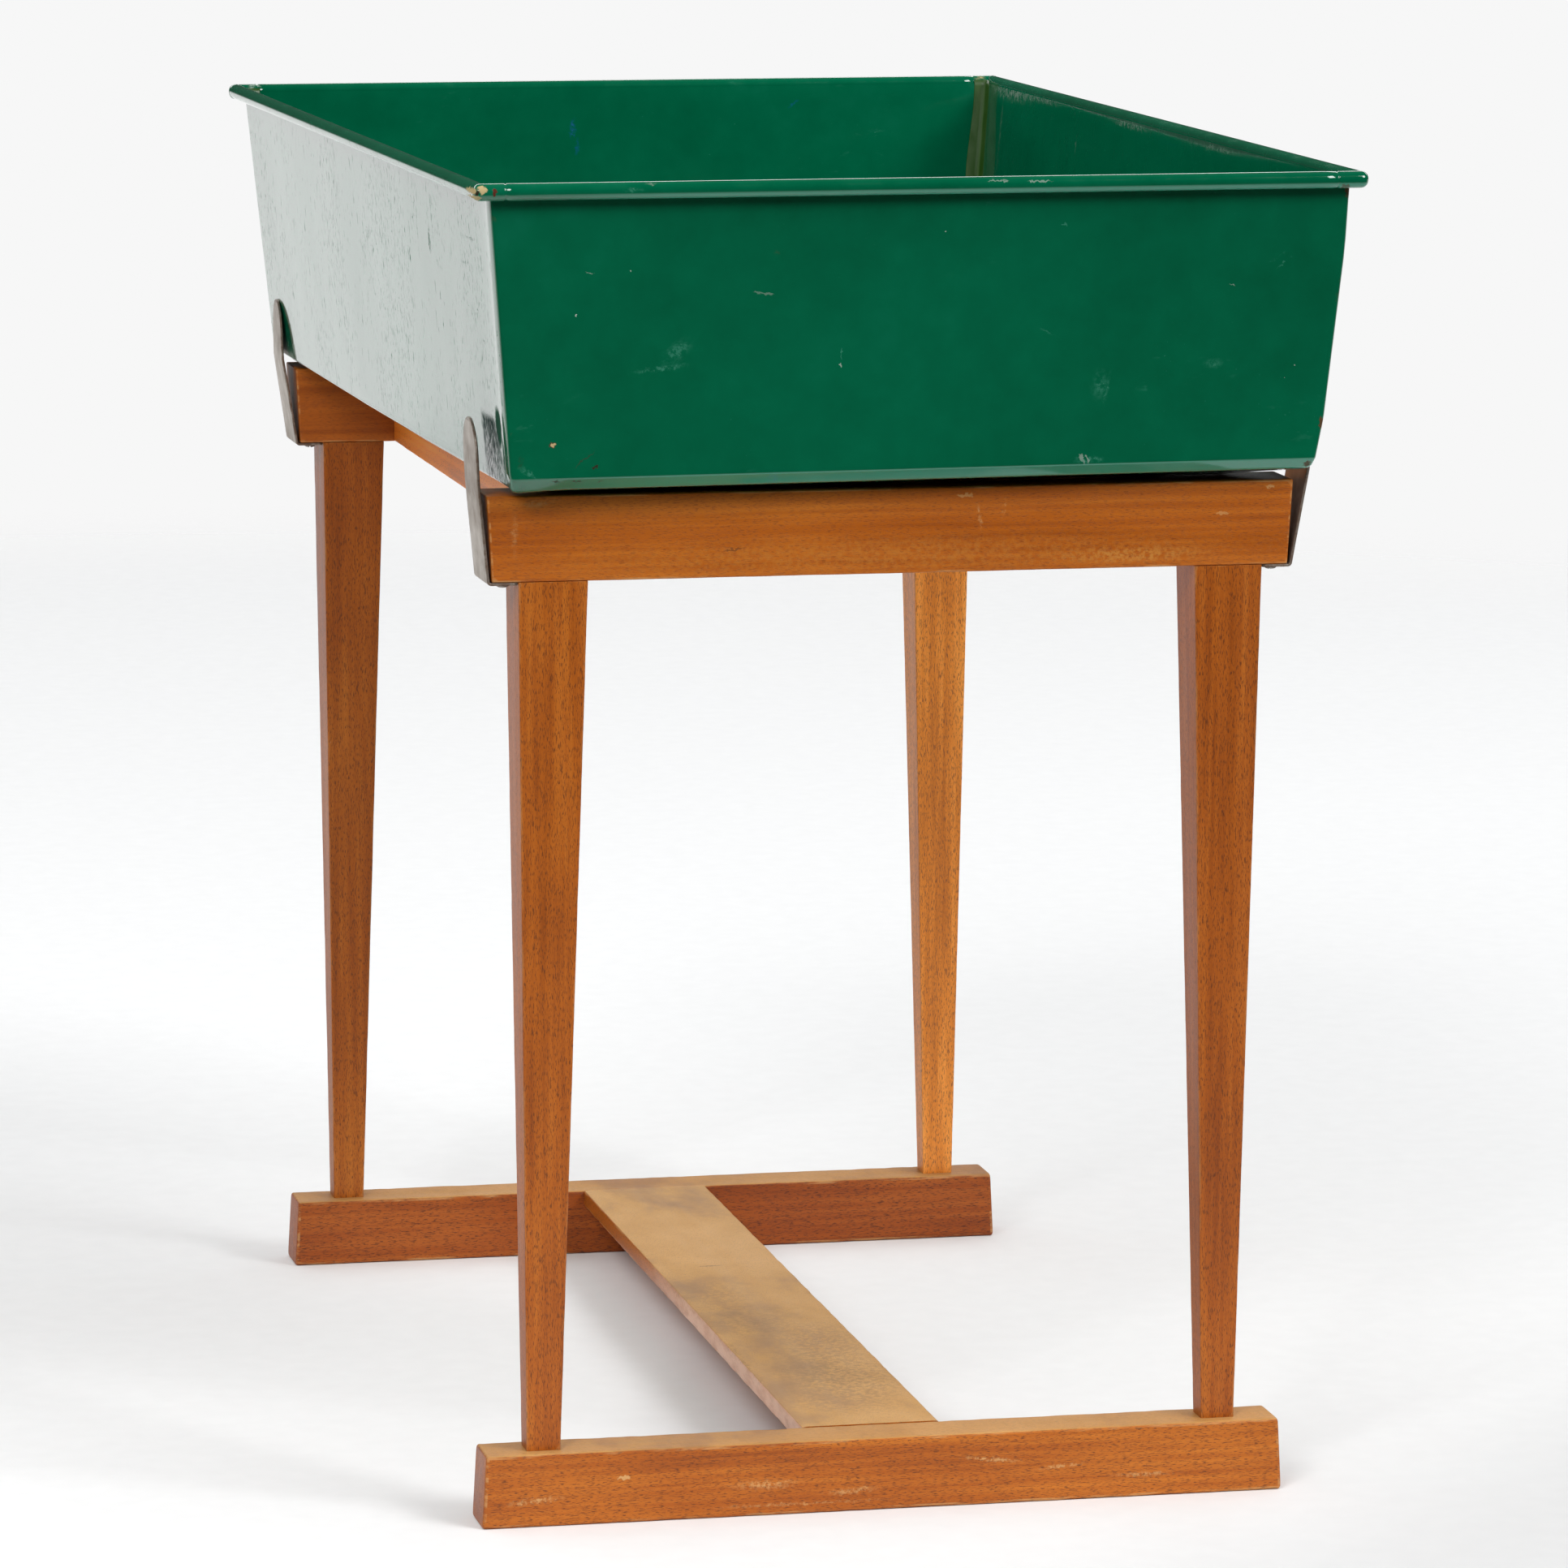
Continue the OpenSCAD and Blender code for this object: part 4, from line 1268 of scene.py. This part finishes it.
def floor():
    """Round floor, large enough for every shadow."""
    bm = bmesh.new()
    rings = 12
    sides = 48
    centre = bm.verts.new(FLOOR_CENTRE)
    before = None
    for ring in range(1, rings + 1):
        radius = FLOOR_REACH * ring / rings
        now = []
        for side in range(sides):
            angle = 2 * math.pi * side / sides
            out = Vector((math.cos(angle), math.sin(angle), 0)) * radius
            now.append(bm.verts.new(FLOOR_CENTRE + out))
        for side in range(sides):
            after = (side + 1) % sides
            if before is None:
                bm.faces.new((centre, now[side], now[after]))
            else:
                bm.faces.new((before[side], now[side], now[after], before[after]))
        before = now
    obj = new_object("studio_floor", bm, smooth=False)
    obj.data.materials.append(floor_surface("studio_floor_surface"))


def world_light():
    """Soft white room: bright behind and overhead, dark low down in front.

    Glossy rays see a bright strip high up behind in place of the ceiling.
    """
    world = bpy.data.worlds.new("studio_room")
    bpy.context.scene.world = world
    world.use_nodes = True
    nodes = Nodes(world.node_tree)
    direction = nodes.node("TexCoord").outputs["Generated"]
    ahead = nodes.axis(direction, "Y")
    up = nodes.axis(direction, "Z")
    backdrop = nodes.window(ahead, -0.25, 0.35, 0.02, 1.05) * nodes.window(up, 0.0, -0.07, 0.05, 1.0)
    soft = nodes.most(backdrop, nodes.window(up, 0.32, 0.72, 0.02, 1.12))
    strip = nodes.window(up, 0.33, 0.40) * nodes.window(up, 0.58, 0.48, 0.0, 5.0)
    mirrored = nodes.most(backdrop, strip * nodes.window(ahead, 0.3, 0.6))
    path = nodes.node("LightPath")
    glossy = Value(nodes, path.outputs["Is Glossy Ray"])
    seen = Value(nodes, path.outputs["Is Camera Ray"])
    light = mirrored * glossy + soft * (1.0 - glossy)
    light = seen * BACKDROP + light * (1.0 - seen)
    background = nodes.node("Background", {"Color": (1.0, 1.0, 1.0), "Strength": light})
    nodes.node("OutputWorld", {"Surface": background.outputs[0]})


def soft_light(name, place, power):
    """Large square softbox aimed at the middle of the stand."""
    data = bpy.data.lights.new(name, "AREA")
    data.shape = "SQUARE"
    data.size = 3.2
    data.energy = power
    obj = linked(name, data)
    obj.location = place
    aim = Vector((0, 0, 0.4)) - Vector(place)
    obj.rotation_euler = aim.to_track_quat("-Z", "Y").to_euler()


def lights():
    """Room light and two softboxes in front."""
    world_light()
    soft_light("front_left_softbox", (-4.4, -6.4, 5.6), 325)
    soft_light("front_right_softbox", (4.8, -5.2, 5.6), 370)


def camera():
    """Long lens, low and from the front left."""
    yaw = math.radians(12.455)
    pitch = math.radians(9.115)
    roll = math.radians(0.2588)
    data = bpy.data.cameras.new("main_camera")
    data.sensor_width = 36.0
    data.lens = 175.28
    data.clip_start = 0.1
    data.clip_end = 100.0
    obj = linked("main_camera", data)
    obj.matrix_world = (
        Matrix.Translation((-0.9555, -4.4057, 1.0795))
        @ Matrix.Rotation(-yaw, 4, "Z")
        @ Matrix.Rotation(math.pi / 2 - pitch, 4, "X")
        @ Matrix.Rotation(roll, 4, "Z")
    )
    bpy.context.scene.camera = obj


# ---- assembly
def finish_piece(obj, material, body, slot, *nodes):
    """Gives a piece its material, its body if it rides one, and the CAD nodes it replaces."""
    obj.data.materials.append(material)
    if body:
        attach(obj, body)
    if nodes:
        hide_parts(*nodes)


def build_stand():
    """Two trestles, the long rails and the stretcher."""
    rail_wood = wood(
        "cross_rail_wood", "X", (1.06, 0.98, 0.8), edge_wear=0.45, marks=RAIL_MARKS, porous=0.4,
    )
    long_rail_wood = wood("long_rail_wood", "Y", (2.7, 2.8, 3.6))
    leg_tones = {
        "front_left": (1.0, 0.95, 0.85),
        "front_right": (0.93, 0.86, 0.80),
        "rear_left": (0.92, 0.88, 0.80),
        "rear_right": (1.85, 2.3, 4.1),
    }
    foot_tones = {"front": (1.02, 0.96, 0.82), "rear": (0.78, 0.62, 0.65)}
    for end, side in ENDS:
        piece = top_rail(f"{end}_cross_rail", side)
        finish_piece(piece, rail_wood, "stand", "wood", f"{end}_top_rail")
        foot_wood = wood(
            f"{end}_foot_wood", "X", foot_tones[end],
            top_wear=0.75, edge_wear=0.45, marks=FOOT_MARKS, nicks=0.7, contrast=1.5,
        )
        piece = foot_rail(f"{end}_foot", side)
        finish_piece(piece, foot_wood, "stand", "worn_wood", f"{end}_foot_rail")
        for hand, across in HANDS:
            corner = f"{end}_{hand}"
            leg_wood = wood(f"{corner}_leg_wood", "Z", leg_tones[corner], edge_wear=0.2)
            piece = leg(f"{corner}_tapered_leg", across, side)
            finish_piece(piece, leg_wood, "stand", "wood", f"{corner}_leg")
    for hand, across in HANDS:
        piece = side_rail(f"{hand}_long_rail", across)
        finish_piece(piece, long_rail_wood, "stand", "wood", f"{hand}_side_rail")
    board_wood = wood(
        "board_wood", "Y", top_wear=0.95, edge_wear=0.35, marks=BOARD_MARKS, bare_and_lit_side=True,
    )
    piece = stretcher("flat_stretcher")
    finish_piece(piece, board_wood, "stand", "worn_wood", "stretcher_board")


def build_trough():
    """The pan with its rim, the rods inside the rim and the solder."""
    paint = green_paint("green_enamel", FRONT_MARKS + LEFT_MARKS + INNER_MARKS, rubbed=True)
    end_paint = green_paint("rim_enamel", RIM_MARKS)
    side_paint = green_paint("side_rim_enamel", RIM_MARKS, dull_top=True)
    finish_piece(tray_shell(), paint, "trough", "green_paint", "tray_pan")
    beads = rim_tubes("rim", end_bead_radius, side_bead_radius)
    for bead, bead_paint in zip(beads, (end_paint, end_paint, side_paint, side_paint)):
        finish_piece(bead, bead_paint, "trough", "green_paint")
    rods = join_pieces("rolled_in_rods", rim_tubes("rod", rod_radius, rod_radius, ROD_TRIM))
    finish_piece(rods, dark_steel("rod_metal", 0.7), "trough", "rod_steel", "rim_rods")
    metal = solder_metal("painted_solder", 0.85)
    corners = [(-1, -1), (1, -1), (-1, 1), (1, 1)]
    for number, (side_x, side_y) in enumerate(corners):
        run = corner_run(f"corner_run_{number + 1}", side_x, side_y, 2.0 + number)
        nodes = ("corner_solder",) if number == 0 else ()
        finish_piece(run, metal, "trough", "solder", *nodes)
    bare = solder_metal("bare_solder", 0.0)
    centre = (-(RIM_HALF_X - BEAD) - 0.5 * MM, -(RIM_HALF_Y - 2.1 * BEAD), BEAD_Z + 1.6 * MM)
    blob = lump("front_left_rim_solder", centre, (3.6 * MM, 5.0 * MM, 2.4 * MM), 4.0)
    finish_piece(blob, bare, "trough", "solder")


def build_clips():
    """Four spring straps that bend above their screwed feet, and the screws."""
    steel = strap_steel("brown_strap_steel")
    kinds = {
        "front_left_clip": (-1, -1, FREE_LEAN, 0.0),
        "front_right_clip": (1, -1, PUSHED_LEAN, 0.0),
        "rear_left_clip": (-1, 1, REAR_LEFT_LEAN, 2.2),
        "rear_right_clip": (1, 1, FREE_LEAN, 0.0),
    }
    for number, (body, (side_x, side_y, leans, twist)) in enumerate(kinds.items()):
        piece = clip(f"{body}_strap", side_x, side_y, leans, 5.0 + number, twist)
        finish_piece(piece, steel, None, "strap_steel", f"{body}_foot", f"{body}_arm")
        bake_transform(piece)
    finish_piece(clip_screws(), dark_steel("screw_metal", 0.8), "stand", "screw_steel", "clip_screws")


def finish_cad_nodes():
    """Wood on the dowels, the only CAD pieces that are shown as they are."""
    dowel = wood("dowel_wood", "Y", (1.3, 1.3, 1.3))
    for name in ("side_rail_dowels", "stretcher_dowels"):
        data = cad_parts[name].data
        data.materials.clear()
        data.materials.append(dowel)


bpy.context.scene.view_settings.view_transform = "Standard"
build_stand()
build_trough()
build_clips()
finish_cad_nodes()
floor()
lights()
camera()
